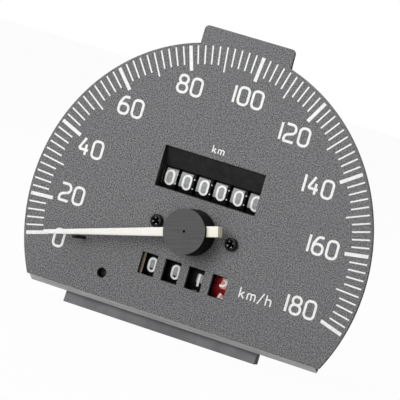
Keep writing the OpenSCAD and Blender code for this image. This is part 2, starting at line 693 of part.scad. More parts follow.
// Pointer: ivory blade through a dark hub, on the spindle with the spring collet and the speed cup
module pointer_turn() rotate([0, -rest_turn, 0]) children();
module pointer_blade() color("#e9e6da") in_frame() pointer_turn() difference() {
    intersection() {
        behind(-pointer_top, -pointer_lift) polygon([
            [-pointer_tail_r, -pointer_tail_w / 2], [hub_face_r - 0.6, -pointer_tail_w / 2],
            [hub_face_r - 0.6, -pointer_root_w / 2], [pointer_tip_r, -pointer_tip_w / 2],
            [pointer_tip_r, pointer_tip_w / 2], [hub_face_r - 0.6, pointer_root_w / 2],
            [hub_face_r - 0.6, pointer_tail_w / 2], [-pointer_tail_r, pointer_tail_w / 2]
        ]);
        translate([0, 0, -dial_r]) linear_extrude(2 * dial_r) polygon([
            [-pointer_tail_r, -pointer_lift], [-pointer_tail_r, -pointer_top], [hub_r, -pointer_top],
            [pointer_tip_r, -pointer_lift - pointer_h / 2 - pointer_tip_h / 2],
            [pointer_tip_r, -pointer_lift - pointer_h / 2 + pointer_tip_h / 2], [hub_r, -pointer_lift]
        ]);
    }
    rod_y(0, 0, -pointer_top - 1, 0, spindle_r + seat_gap);
}
module pointer_hub() color("#343436") in_frame() pointer_turn() difference() {
    spun_y(0, 0, [
        [0, -hub_top], [hub_face_r - hub_edge, -hub_top], [hub_face_r, -hub_top + hub_edge],
        [hub_r, -hub_gap], [0, -hub_gap]
    ]);
    block(-hub_r - 1, hub_r + 1, -pointer_top - seat_gap, -pointer_lift + seat_gap,
        -pointer_tail_w / 2 - seat_gap, pointer_tail_w / 2 + seat_gap);
    rod_y(0, 0, -pointer_lift - 1, 0, spindle_r + seat_gap);
    rod_y(0, 0, -hub_top - 1, -pointer_top, hub_hole_r);
}
hub_edge = 0.25;
hub_hole_r = 0.35;
pivot_r = 0.4;
pivot_l = 1.2;
module pointer_spindle() color("#c9cacc") in_frame() spun_y(0, 0, [
    [0, -pointer_top + 0.3], [spindle_r, -pointer_top + 0.3], [spindle_r, cup_y + cup_web_t],
    [pivot_r, cup_y + cup_web_t], [pivot_r, cup_y + cup_web_t + pivot_l], [0, cup_y + cup_web_t + pivot_l]
]);
module spring_collet() color("#b8964a") in_frame() spun_y(0, 0, [
    [spindle_r + seat_gap, plate_back + 0.5], [hair_in - hair_t / 2 - 0.2, plate_back + 0.5],
    [hair_in - hair_t / 2 - 0.2, cup_y], [spindle_r + seat_gap, cup_y]
]);
module speed_cup() color("#c4c6c9") in_frame() spun_y(0, 0, [
    [spindle_r + seat_gap, cup_y], [cup_r - 0.6, cup_y], [cup_r, cup_y + 0.6], [cup_r, cup_back],
    [cup_r - cup_wall, cup_back], [cup_r - cup_wall, cup_y + cup_web_t],
    [spindle_r + seat_gap, cup_y + cup_web_t]
]);

// Drive: shaft with its worm and square hole, magnet and flux cup
thread_h = 0.62;
thread_steps = 20;
thread_sink = 0.3;
thread_root_half = 0.34;
thread_tip_half = 0.12;
thread_outline = [
    [-thread_sink, -thread_root_half], [thread_h, -thread_tip_half],
    [thread_h, thread_tip_half], [-thread_sink, thread_root_half]
];
worm_core_r = worm_r - wheel_module;
function thread_ring(i) =
    let (a = i * 360 / thread_steps, y = worm_y + worm_pitch * (i / thread_steps - floor(worm_turns / 2)))
    [for (q = thread_outline) let (r = worm_core_r + q[0]) [r * sin(a), y + q[1], r * cos(a)]];
module worm_thread() {
    rings = [for (i = [0 : worm_turns * thread_steps]) thread_ring(i)];
    last = len(rings) - 1;
    polyhedron(
        points = [for (r = rings, p = r) p],
        faces = concat(
            [[2, 1, 0], [3, 2, 0]],
            [for (i = [0 : last - 1], k = [0 : 3], s = [0, 1])
                let (a = 4 * i + k, b = 4 * i + (k + 1) % 4)
                s == 0 ? [a, b, a + 4] : [b, b + 4, a + 4]],
            [[4 * last, 4 * last + 1, 4 * last + 2], [4 * last, 4 * last + 2, 4 * last + 3]]
        )
    );
}
worm_half = worm_pitch * worm_turns / 2 + 0.8;
module drive_shaft() color("#b5b6b8") in_frame() {
    difference() {
        spun_y(0, 0, [
            [0, magnet_y], [shaft_r, magnet_y], [shaft_r, worm_y - worm_half],
            [worm_core_r, worm_y - worm_half], [worm_core_r, worm_y + worm_half],
            [shaft_r, worm_y + worm_half],
            [shaft_r, socket_mouth - socket_l], [0, socket_mouth - socket_l]
        ]);
        rod_y(0, 0, magnet_y - 1, magnet_y + pivot_l + 0.5, pivot_r + run_gap);
        block(-square_w / 2, square_w / 2, rear_back + socket_flange_t, socket_mouth,
            -square_w / 2, square_w / 2);
    }
    worm_thread();
}
module drive_magnet() color("#4a4643") in_frame() spun_y(0, 0, [
    [shaft_r + seat_gap, magnet_y], [magnet_r - 0.5, magnet_y], [magnet_r, magnet_y + 0.5],
    [magnet_r, magnet_back], [shaft_r + seat_gap, magnet_back]
]);
module flux_cup() color("#8b8a86") in_frame() spun_y(0, 0, [
    [shaft_r + seat_gap, magnet_back], [flux_r - flux_wall, magnet_back], [flux_r - flux_wall, cup_y + 1.2],
    [flux_r, cup_y + 1.2], [flux_r, flux_back], [shaft_r + seat_gap, flux_back]
]);

// Gear train
module worm_wheel() color("#c2a356") in_frame() difference() {
    across(-wheel_w / 2, wheel_w / 2) translate([cross_y, cross_z])
        gear_outline(wheel_teeth, wheel_module, worm_wheel_turn);
    rod_x(cross_y, cross_z, -wheel_w, wheel_w, cross_r + seat_gap);
}
module cross_shaft() color("#c9cacc") in_frame() {
    rod_x(cross_y, cross_z, -lug_x, bridge_x + bridge_t, cross_r);
    across(far_x, far_x + gear_w) translate([cross_y, cross_z])
        gear_outline(small_teeth, first_module, cross_pinion_turn);
}
light_hole_r = 2.1;
module reduction_gear() color("#cdb06a") in_frame() {
    difference() {
        across(far_x, far_x + gear_w) translate([layshaft_y, layshaft_z])
            gear_outline(first_teeth, first_module, layshaft_wheel_turn);
        for (a = [0 : 90 : 270]) {
            hole = polar(first_module * first_teeth / 4 + 0.6, a);
            rod_x(layshaft_y + hole[0], layshaft_z + hole[1], far_x - 1, far_x + gear_w + 1, light_hole_r);
        }
    }
    across(near_x, far_x) translate([layshaft_y, layshaft_z])
        gear_outline(small_teeth, second_module, layshaft_pinion_turn);
    rod_x(layshaft_y, layshaft_z, cheek_x, bridge_x + bridge_t, arbor_r);
}
sleeve_r = rod_r + 1.2;
flange_t = 0.7;
odo_flange_r = 5.6;
trip_flange_r = 4.4;
trip_flange_gap = 0.3;
module counter_gear(y, z, turn, inner_x, inner_r) difference() {
    union() {
        across(near_x, near_x + gear_w) translate([y, z]) gear_outline(counter_teeth, second_module, turn);
        rod_x(y, z, inner_x, near_x, sleeve_r);
        rod_x(y, z, inner_x, inner_x + flange_t, inner_r);
    }
    rod_x(y, z, inner_x - 1, near_x + gear_w + 1, rod_r + run_gap);
}
module odometer_wheel() color("#d8d5c8") in_frame()
    counter_gear(odo_y, odo_z, odo_wheel_turn, odo_x(odo_count) + odo_pitch - odo_drum_w / 2,
        odo_flange_r);
module trip_wheel() color("#d8d5c8") in_frame()
    counter_gear(trip_y, trip_z, trip_wheel_turn,
        trip_x(trip_count) + trip_drum_w / 2 + ring_w + trip_flange_gap, trip_flange_r);
module idler_gear() color("#cdb06a") in_frame() difference() {
    across(near_x, near_x + gear_w) translate([idler_y, idler_z])
        gear_outline(idler_teeth, second_module, idler_turn);
    rod_x(idler_y, idler_z, near_x - 1, near_x + gear_w + 1, arbor_r + run_gap);
}

// Number drum: rim, web, hub and the ring of teeth on its right side
drum_web = 1.2;
drum_hub_r = rod_r + 1.3;
heart_rise = 2.2;
module cam_outline(heart) {
    if (heart) polygon([
        for (a = [-180 : 15 : 165]) polar(drum_hub_r + heart_rise * abs(a) / 180, a + finger_line + 180)
    ]);
    else circle(drum_hub_r);
}
module number_drum(x, y, z, w, cam, heart) {
    translate([x, 0, 0]) spun_x(y, z, [
        [rod_r + run_gap, -w / 2], [drum_hub_r, -w / 2], [drum_hub_r, w / 2 - drum_web],
        [drum_r - drum_wall, w / 2 - drum_web], [drum_r - drum_wall, -w / 2], [drum_r, -w / 2],
        [drum_r, w / 2], [rod_r + run_gap, w / 2]
    ]);
    difference() {
        union() {
            across(x + w / 2, x + w / 2 + ring_w) translate([y, z])
                gear_outline(ring_teeth, ring_module, ring_turn);
            if (cam > 0) across(x + w / 2, x + w / 2 + ring_w + cam) translate([y, z])
                cam_outline(heart);
        }
        rod_x(y, z, x, x + w, rod_r + run_gap);
    }
}
side_gap = 0.1;
module odometer_drum(i) color("#1b1b1c") in_frame()
    number_drum(odo_x(i), odo_y, odo_z, odo_drum_w, odo_pitch - odo_drum_w - ring_w - side_gap, false);
module trip_drum(i) color(i == trip_count ? "#6e0c10" : "#1b1b1c") in_frame()
    number_drum(trip_x(i), trip_y, trip_z, trip_drum_w,
        i == trip_count ? 0 : trip_pitch - trip_drum_w - ring_w - side_gap, true);

// Transfer pinion on its rod, its teeth in the gap beside a drum
module transfer_pinion(x, y, z, gap, line) difference() {
    union() {
        across(x, x + gap) translate([y, z])
            gear_outline(pinion_teeth, ring_module, meshed(ring_turn, ring_teeth, pinion_teeth, line));
        rod_x(y, z, x - pinion_hub_side, x + gap + pinion_hub_side, pinion_hub_r);
    }
    rod_x(y, z, x - 5, x + 5, pinion_rod_r + run_gap);
}
module odometer_pinion(i) color("#d8d5c8") in_frame()
    transfer_pinion(odo_x(i) + odo_drum_w / 2 + side_gap, odo_pinion_y, odo_pinion_z,
        odo_pitch - odo_drum_w - 2 * side_gap, pinion_turn);
module trip_pinion(i) color("#d8d5c8") in_frame()
    transfer_pinion(trip_x(i) + trip_drum_w / 2 + side_gap, trip_pinion_y, trip_pinion_z,
        ring_w, -pinion_turn);

// Reset: a sprung plunger behind the dial's hole swings the comb into the trip drums' gaps
module reset_plunger() color("#c9cacc") in_frame() spun_y(reset_x, reset_z, [
    [0, dial_t + 1], [0.9, dial_t + 1], [plunger_r, dial_t + 1.5], [plunger_r, collar_back - collar_t],
    [collar_r, collar_back - collar_t], [collar_r, collar_back], [plunger_r, collar_back],
    [plunger_r, stop_collar_y], [collar_r - 0.1, stop_collar_y], [collar_r - 0.1, stop_collar_y + collar_t],
    [plunger_r, stop_collar_y + collar_t], [plunger_r, plate_back + 0.6], [0, plate_back + 0.6]
]);
coil_sides = 6;
coil_steps = 8;
echo(reset_spring_least_gap = (coil_end - coil_start - 2 * coil_wire_r) / coil_turns - 2 * coil_wire_r);
module reset_spring() color("#aeb0b3") in_frame() translate([reset_x, 0, reset_z]) {
    rise = (coil_end - coil_start - 2 * coil_wire_r) / coil_turns / coil_steps;
    count = coil_turns * coil_steps;
    polyhedron(
        points = [for (i = [0 : count], k = [0 : coil_sides - 1])
            let (a = i * 360 / coil_steps, b = k * 360 / coil_sides, r = coil_r + coil_wire_r * cos(b))
            [r * cos(a), coil_start + coil_wire_r + i * rise + coil_wire_r * sin(b), r * sin(a)]],
        faces = concat(
            [for (k = [1 : coil_sides - 2]) [0, k, k + 1]],
            [for (i = [0 : count - 1], k = [0 : coil_sides - 1], s = [0, 1])
                let (a = coil_sides * i + k, b = coil_sides * i + (k + 1) % coil_sides)
                s == 0 ? [a, a + coil_sides, b] : [b, a + coil_sides, b + coil_sides]],
            [for (k = [1 : coil_sides - 2]) let (end = coil_sides * count) [end + k + 1, end + k, end]]
        )
    );
}
module comb_plate(x0, t, line, reach, root_w)
    across(x0, x0 + t) translate([comb_depth, comb_z]) rotate(line) polygon([
        [0, -root_w / 2], [reach - 1, -prong_w / 2], [reach, -prong_w / 4],
        [reach, prong_w / 4], [reach - 1, prong_w / 2], [0, root_w / 2]
    ]);
module reset_comb() color("#b5b6b8") in_frame() {
    rod_x(comb_depth, comb_z, reset_x - collar_r, outer_x, comb_r);
    for (i = [1 : trip_count])
        comb_plate(trip_x(i) + trip_drum_w / 2 + ring_w + finger_side, finger_t,
            finger_line + comb_swing, finger_reach, 2 * comb_r);
    for (x = [reset_x - plunger_r - prong_side - prong_t, reset_x + plunger_r + prong_side])
        comb_plate(x, prong_t, 90 + comb_swing / 2, comb_arm + collar_r - comb_tip_room, prong_w);
}

dial_plate();
dial_screws();
stop_pin();
odometer_mask();
chassis();
dial_pillars();
spindle_tube();
frame_pillars();
rear_plate();
pillar_screws();
cable_socket();
socket_screws();
drive_bush();
hairspring();
spring_stud();
odometer_rod();
trip_rod();
odometer_pinion_rod();
trip_pinion_rod();
odometer_washer();
trip_washer();
gear_bridge();
bridge_screws();
reset_spring();
pointer_blade();
pointer_hub();
pointer_spindle();
spring_collet();
speed_cup();
drive_shaft();
drive_magnet();
flux_cup();
cross_shaft();
worm_wheel();
reduction_gear();
odometer_wheel();
idler_gear();
trip_wheel();
for (i = [1 : odo_count]) {
    odometer_drum(i);
    odometer_pinion(i);
}
for (i = [1 : trip_count]) trip_drum(i);
for (i = [1 : trip_count - 1]) trip_pinion(i);
reset_plunger();
reset_comb();
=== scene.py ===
# Vintage magnetic speedometer: a grey dial with an ivory pointer, two drum counters and the movement.
# Sizes are in millimetres on the dial: X right, Z up from the pointer axis, depth behind the dial's face.
import json
from math import ceil, cos, pi, radians, sin, tan

import bpy
from mathutils import Matrix, Vector


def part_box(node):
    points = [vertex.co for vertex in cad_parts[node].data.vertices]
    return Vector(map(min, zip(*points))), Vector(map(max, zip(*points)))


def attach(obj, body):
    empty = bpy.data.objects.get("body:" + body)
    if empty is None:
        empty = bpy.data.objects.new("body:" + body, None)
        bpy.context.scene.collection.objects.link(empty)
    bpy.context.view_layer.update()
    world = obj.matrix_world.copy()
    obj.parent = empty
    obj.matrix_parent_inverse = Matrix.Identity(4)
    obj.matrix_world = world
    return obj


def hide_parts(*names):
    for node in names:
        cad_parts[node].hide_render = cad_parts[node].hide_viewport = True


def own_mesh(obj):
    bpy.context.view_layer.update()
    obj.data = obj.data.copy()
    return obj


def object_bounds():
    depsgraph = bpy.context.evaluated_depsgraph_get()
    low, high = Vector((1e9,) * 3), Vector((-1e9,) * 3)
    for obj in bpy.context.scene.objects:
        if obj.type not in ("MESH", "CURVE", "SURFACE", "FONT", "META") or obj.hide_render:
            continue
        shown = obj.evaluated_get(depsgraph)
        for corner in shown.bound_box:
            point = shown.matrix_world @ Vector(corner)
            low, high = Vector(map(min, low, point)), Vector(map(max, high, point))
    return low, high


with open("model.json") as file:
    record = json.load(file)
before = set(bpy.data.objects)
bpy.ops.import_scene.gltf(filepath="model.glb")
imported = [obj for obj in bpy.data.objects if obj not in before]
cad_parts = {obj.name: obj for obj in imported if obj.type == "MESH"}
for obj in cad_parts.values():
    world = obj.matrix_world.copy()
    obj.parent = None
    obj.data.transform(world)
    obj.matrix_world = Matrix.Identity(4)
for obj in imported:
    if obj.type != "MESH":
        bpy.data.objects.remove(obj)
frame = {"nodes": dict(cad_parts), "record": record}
solid_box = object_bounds()
bpy.ops.object.select_all(action="DESELECT")

# Chassis: one casting of zinc alloy that makes the front plate, both cheeks and the foot.
# It is left as cast, so it is a dull satin grey with faint flow marks; the dial stands in front of it.
MM = 0.001
face_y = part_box("dial_plate")[0].y


def linear(code):
    """An sRGB hex colour as a linear one."""
    parts = [int(code[i : i + 2], 16) / 255 for i in (1, 3, 5)]
    return [c / 12.92 if c <= 0.04045 else ((c + 0.055) / 1.055) ** 2.4 for c in parts] + [1.0]


def add_node(material, kind, settings, links={}):
    """One node of a material: its settings by name, and the sockets that feed its inputs."""
    node = material.node_tree.nodes.new(kind)
    for name, value in settings.items():
        if isinstance(name, int) or name in node.inputs:
            node.inputs[name].default_value = value
        else:
            setattr(node, name, value)
    for name, socket in links.items():
        material.node_tree.links.new(socket, node.inputs[name])
    return node


def start_material(name, roughness, metallic=0.0):
    """A material with its shader and Object coordinates, ready for a pattern."""
    material = bpy.data.materials.new(name)
    material.use_nodes = True
    shader = material.node_tree.nodes["Principled BSDF"]
    shader.inputs["Roughness"].default_value = roughness
    shader.inputs["Metallic"].default_value = metallic
    place = add_node(material, "ShaderNodeTexCoord", {}).outputs["Object"]
    return material, shader, place


def shade(material, shader, value, dark, pale, low=0.3, high=0.7):
    """Colours a surface from dark to pale as a pattern's value goes from low to high."""
    ramp = add_node(material, "ShaderNodeValToRGB", {}, {"Fac": value})
    ramp.color_ramp.elements[0].position = low
    ramp.color_ramp.elements[0].color = linear(dark)
    ramp.color_ramp.elements[1].position = high
    ramp.color_ramp.elements[1].color = linear(pale)
    material.node_tree.links.new(ramp.outputs["Color"], shader.inputs["Base Color"])
    return ramp


def roughen(material, shader, value, depth_mm, strength):
    """Bump of a given depth from a pattern's value."""
    bump = add_node(
        material, "ShaderNodeBump", {"Strength": strength, "Distance": depth_mm * MM}, {"Height": value}
    )
    material.node_tree.links.new(bump.outputs["Normal"], shader.inputs["Normal"])


def cast_alloy():
    # Zinc alloy as cast: satin grey, with soft clouds 6 mm wide and a fine orange-peel skin
    material, shader, place = start_material("cast_zinc_alloy", 0.58, 0.25)
    clouds = add_node(
        material, "ShaderNodeTexNoise", {"Scale": 1 / (6 * MM), "Detail": 4}, {"Vector": place}
    )
    shade(material, shader, clouds.outputs["Fac"], "#58585a", "#727274")
    skin = add_node(
        material, "ShaderNodeTexNoise", {"Scale": 1 / (0.5 * MM), "Detail": 2}, {"Vector": place}
    )
    roughen(material, shader, skin.outputs["Fac"], 0.02, 0.35)
    return material


def finish_node(material, *names):
    """Gives solids that keep their own shape their finish."""
    for name in names:
        slots = frame["nodes"][name].data.materials
        slots.clear()
        slots.append(material)


def hold(*pieces):
    """Selects only these pieces; the first is the active one."""
    bpy.ops.object.select_all(action="DESELECT")
    for piece in pieces:
        piece.select_set(True)
    bpy.context.view_layer.objects.active = pieces[0]


def modify(piece, kind, **settings):
    """Adds a modifier, sets it and applies it."""
    hold(piece)
    bpy.ops.object.modifier_add(type=kind)
    modifier = piece.modifiers[-1]
    for name, value in settings.items():
        setattr(modifier, name, value)
    bpy.ops.object.modifier_apply(modifier=modifier.name)


def ease_edges(piece, width_mm, steps=2, sharper_than=50):
    """Rounds every edge that is sharper than an angle, and shades the rest smooth."""
    modify(
        piece, "BEVEL", width=width_mm * MM, segments=steps,
        limit_method="ANGLE", angle_limit=radians(sharper_than)
    )
    bpy.ops.object.shade_smooth_by_angle(angle=radians(35))
    modify(piece, "WEIGHTED_NORMAL", keep_sharp=True, weight=100)


body_of = {
    name: body for body, names in frame["record"]["behaviour"]["bodies"].items() for name in names
}


def stand_for(piece, node, *materials):
    """A piece takes a solid's place: its finish and its body, and the solid is hidden."""
    piece.data.materials.clear()
    for material in materials:
        piece.data.materials.append(material)
    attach(piece, body_of[node])
    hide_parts(node)


def clean(piece, closest_mm=0.001):
    """Merges points that almost coincide and drops those that lie in flat faces and straight edges."""
    hold(piece)
    bpy.ops.object.mode_set(mode="EDIT")
    bpy.ops.mesh.select_all(action="SELECT")
    bpy.ops.mesh.remove_doubles(threshold=closest_mm * MM)
    bpy.ops.mesh.dissolve_limited(angle_limit=radians(0.5))
    bpy.ops.object.mode_set(mode="OBJECT")


def ease_node(node, material, width_mm):
    """A copy of a solid with its edges rounded as the tool or the tumbling barrel leaves them."""
    piece = bpy.data.objects.new(f"{node}_eased", frame["nodes"][node].data.copy())
    bpy.context.collection.objects.link(piece)
    hold(piece)
    bpy.ops.mesh.customdata_custom_splitnormals_clear()
    clean(piece)
    ease_edges(piece, width_mm)
    stand_for(piece, node, material)
    return piece


alloy = cast_alloy()
ease_node("chassis", alloy, 0.25)
ease_node("cable_socket", alloy, 0.2)

# Rear plate, pillars and screws: sheet and bar steel, zinc plated after stamping and turning.
# The plate is screwed to four pillars, and its two ears take the housing's screws.


def plated_steel():
    # Bright zinc plate: pale cool grey, with rolling lines along X, 0.3 mm apart
    material, shader, place = start_material("zinc_plated_steel", 0.38, 0.9)
    lines = add_node(material, "ShaderNodeMapping", {"Scale": (0.06, 1, 1)}, {"Vector": place})
    rolled = add_node(
        material, "ShaderNodeTexNoise", {"Scale": 1 / (0.3 * MM), "Detail": 3},
        {"Vector": lines.outputs["Vector"]}
    )
    shade(material, shader, rolled.outputs["Fac"], "#8d8f93", "#b9bbbf")
    roughen(material, shader, rolled.outputs["Fac"], 0.01, 0.2)
    return material


plated = plated_steel()
for name in (
    "rear_plate", "frame_pillars", "pillar_screws", "socket_screws", "bridge_screws", "reset_comb"
):
    ease_node(name, plated, 0.12)

# Rods, spindle and shafts: silver steel, ground and polished, pressed or running in their holes.
# The drive shaft carries the worm and the square hole for the cable.


def ground_steel():
    # Polished rod: bright, with a faint mottle 0.4 mm wide that the grinding left
    material, shader, place = start_material("ground_silver_steel", 0.2, 1.0)
    marks = add_node(
        material, "ShaderNodeTexNoise", {"Scale": 1 / (0.4 * MM), "Detail": 2}, {"Vector": place}
    )
    shade(material, shader, marks.outputs["Fac"], "#a9abae", "#cfd1d4")
    return material


ground = ground_steel()
finish_node(
    ground, "odometer_rod", "trip_rod", "odometer_pinion_rod", "trip_pinion_rod", "spring_stud",
    "pointer_spindle", "drive_shaft", "cross_shaft"
)

# Brass and bronze pieces: the dial's pillars, the spindle's tube and collet, the gears and bridge.
# They are turned or stamped from brass and have dulled a little. The drive's bush is pressed from
# bronze powder, and the hairspring is a drawn bronze strip.


def turned_brass():
    # Lightly tarnished brass: warm yellow that browns in patches 3 mm wide
    material, shader, place = start_material("turned_brass", 0.33, 1.0)
    patches = add_node(
        material, "ShaderNodeTexNoise", {"Scale": 1 / (3 * MM), "Detail": 5}, {"Vector": place}
    )
    shade(material, shader, patches.outputs["Fac"], "#a4844a", "#bf9d58")
    return material


brass = turned_brass()
for name in ("dial_pillars", "gear_bridge", "spindle_tube"):
    ease_node(name, brass, 0.12)
finish_node(brass, "spring_collet", "worm_wheel", "reduction_gear", "idler_gear")


def bearing_bronze():
    # Oil-soaked sintered bronze: brown and matt, with pores 0.3 mm wide
    material, shader, place = start_material("sintered_bronze", 0.6, 0.7)
    pores = add_node(
        material, "ShaderNodeTexNoise", {"Scale": 1 / (0.3 * MM), "Detail": 2}, {"Vector": place}
    )
    shade(material, shader, pores.outputs["Fac"], "#5d4223", "#94703c")
    roughen(material, shader, pores.outputs["Fac"], 0.03, 0.4)
    return material


def spring_bronze():
    # Drawn spring strip: smooth reddish brown, a little brighter in clouds 1 mm wide
    material, shader, place = start_material("drawn_spring_bronze", 0.28, 1.0)
    clouds = add_node(
        material, "ShaderNodeTexNoise", {"Scale": 1 / (1 * MM), "Detail": 2}, {"Vector": place}
    )
    shade(material, shader, clouds.outputs["Fac"], "#9c6d42", "#b98b52")
    return material


finish_node(bearing_bronze(), "drive_bush")
finish_node(spring_bronze(), "hairspring")

# Magnet, flux cup and speed cup: a ground cast magnet, a drawn iron cup and a spun aluminium cup.
# The cup hangs on the spindle in the air gap between the other two, which turn with the drive shaft.


def magnet_alloy():
    # Ground cast magnet: dark brownish grey, broken up by crystals 0.8 mm wide
    material, shader, place = start_material("cast_magnet_alloy", 0.45, 0.8)
    grain = add_node(material, "ShaderNodeTexVoronoi", {"Scale": 1 / (0.8 * MM)}, {"Vector": place})
    shade(material, shader, grain.outputs["Distance"], "#38332f", "#5c554f")
    return material


def spun_aluminium():
    # Thin spun cup: bright and soft, with rings round the axis. The wave repeats about three times
    # in the 2 mm that its scale names, so the rings are some 0.6 mm apart
    material, shader, place = start_material("spun_aluminium", 0.3, 1.0)
    rings = add_node(
        material, "ShaderNodeTexWave",
        {"wave_type": "RINGS", "rings_direction": "Y", "Scale": 1 / (2 * MM), "Distortion": 0.4},
        {"Vector": place}
    )
    shade(material, shader, rings.outputs["Fac"], "#adb0b5", "#cacdd2")
    return material


def drawn_iron():
    # Drawn soft iron, oiled: plain dull grey with draw marks 0.5 mm apart along the axis
    material, shader, place = start_material("drawn_soft_iron", 0.45, 0.9)
    along = add_node(material, "ShaderNodeMapping", {"Scale": (1, 0.08, 1)}, {"Vector": place})
    marks = add_node(
        material, "ShaderNodeTexNoise", {"Scale": 1 / (0.5 * MM), "Detail": 3},
        {"Vector": along.outputs["Vector"]}
    )
    shade(material, shader, marks.outputs["Fac"], "#75757a", "#97979a")
    return material


finish_node(magnet_alloy(), "drive_magnet")
finish_node(drawn_iron(), "flux_cup")
finish_node(spun_aluminium(), "speed_cup")

# Nylon wheels and pinions: moulded in natural nylon, a creamy white that lets a little light in.
# They turn on the drums' rods and carry the count from drum to drum.


def natural_nylon():
    # Natural nylon: creamy, with clouds 4 mm wide, and light comes a little way through its teeth
    material, shader, place = start_material("natural_nylon", 0.5)
    clouds = add_node(
        material, "ShaderNodeTexNoise", {"Scale": 1 / (4 * MM), "Detail": 2}, {"Vector": place}
    )
    shade(material, shader, clouds.outputs["Fac"], "#cfcab8", "#dedac9")
    shader.inputs["Subsurface Weight"].default_value = 0.15
    shader.inputs["Subsurface Scale"].default_value = 1.0
    shader.inputs["Subsurface Radius"].default_value = (0.8 * MM, 0.6 * MM, 0.5 * MM)
    return material


nylon = natural_nylon()
finish_node(nylon, "odometer_wheel", "trip_wheel")
for i in range(1, 7):
    finish_node(nylon, f"odometer_pinion_{i}")
for i in range(1, 4):
    finish_node(nylon, f"trip_pinion_{i}")

# Number drums: moulded black drums, and a red one for the tenths, with the figures printed round the rim.
# Each figure is white on a grey pad; the odometer stands at nought and the trip has gone a little way.


def moulded_plastic(name, dark, pale):
    # Moulded drum: near matt, a faint mottle 1.5 mm wide from handling and age
    material, shader, place = start_material(name, 0.55)
    shader.inputs["Specular IOR Level"].default_value = 0.12
    mottle = add_node(
        material, "ShaderNodeTexNoise", {"Scale": 1 / (1.5 * MM), "Detail": 4}, {"Vector": place}
    )
    shade(material, shader, mottle.outputs["Fac"], dark, pale)
    return material


def printed_ink(name, dark, pale):
    # Pad-printed ink: flat and matt, slightly uneven in cover over 0.8 mm
    material, shader, place = start_material(name, 0.6)
    cover = add_node(
        material, "ShaderNodeTexNoise", {"Scale": 1 / (0.8 * MM), "Detail": 3}, {"Vector": place}
    )
    shade(material, shader, cover.outputs["Fac"], dark, pale)
    return material


def rounded(corners, radius, closed):
    """A stroke through corner points, each turned into an arc of at most that radius, in short steps."""
    points = [Vector(c[:2]) for c in corners]
    count = len(points)
    path = []
    for i, corner in enumerate(points):
        before, after = points[i - 1] - corner, points[(i + 1) % count] - corner
        if not closed and i in (0, count - 1):
            path.append(corner)
            continue
        half = before.angle(after) / 2
        room = min(before.length, after.length) / (2 if closed or 1 < i < count - 2 else 1.2)
        share = corners[i][2] if len(corners[i]) > 2 else 1
        size = min(radius * share, room * 0.98 * tan(half))
        inset = size / tan(half)
        middle = corner + (before.normalized() + after.normalized()).normalized() * size / sin(half)
        first = corner + before.normalized() * inset - middle
        last = corner + after.normalized() * inset - middle
        turn = first.angle_signed(last)
        steps = max(2, ceil(abs(turn) / radians(22)))
        for k in range(steps + 1):
            path.append(middle + Matrix.Rotation(-turn * k / steps, 2) @ first)
    return path


def box_loop(x0, y0, x1, y1):
    return [(x0, y0), (x1, y0), (x1, y1), (x0, y1)], True


# Strokes of each figure on a unit cell, corner by corner; a third value shrinks that corner's arc
FIGURES = {
    "0": [box_loop(0, 0, 1, 1)],
    "1": [([(0.5, 0), (0.5, 1)], False)],
    "2": [([(0, 1), (1, 1), (1, 0.54), (0, 0.34), (0, 0, 0.2), (1, 0)], False)],
    "3": [
        ([(0, 1), (1, 1), (1, 0.53), (0.35, 0.53)], False),
        ([(0.35, 0.53), (1, 0.53), (1, 0), (0, 0)], False),
    ],
    "4": [([(0.55, 1), (0, 0.3, 0.3), (1, 0.3)], False), ([(0.74, 0.64), (0.74, 0)], False)],
    "5": [([(0.95, 1), (0.04, 1, 0.2), (0.04, 0.57, 0.2), (1, 0.57), (1, 0), (0, 0)], False)],
    "6": [([(0.9, 1), (0.35, 1), (0, 0.55), (0, 0.3)], False), box_loop(0, 0, 1, 0.58)],
    "7": [([(0, 1), (1, 1, 0.5), (0.35, 0)], False)],
    "8": [box_loop(0, 0, 1, 0.53), box_loop(0.07, 0.53, 0.93, 1)],
    "9": [([(0.1, 0), (0.65, 0), (1, 0.45), (1, 0.7)], False), box_loop(0, 0.42, 1, 1)],
    "k": [
        ([(0, 0), (0, 1)], False),
        ([(0.85, 0.62), (0.05, 0.24)], False),
        ([(0.3, 0.36), (0.95, 0)], False),
    ],
    "m": [
        ([(0, 0), (0, 0.62), (0.5, 0.62), (0.5, 0)], False),
        ([(0.5, 0.4), (0.5, 0.62), (1, 0.62), (1, 0)], False),
    ],
    "h": [([(0, 0), (0, 1)], False), ([(0, 0.4), (0, 0.62), (1, 0.62), (1, 0)], False)],
    "/": [([(0, -0.08), (1, 1.05)], False)],
}


def split(path, longest, closed):
    """Adds points to a stroke so that no step is longer than a length."""
    fine = []
    for i, point in enumerate(path):
        fine.append(point)
        if i + 1 < len(path) or closed:
            run = path[(i + 1) % len(path)] - point
            parts = ceil(run.length / longest)
            fine += [point + run * k / parts for k in range(1, parts)]
    return fine


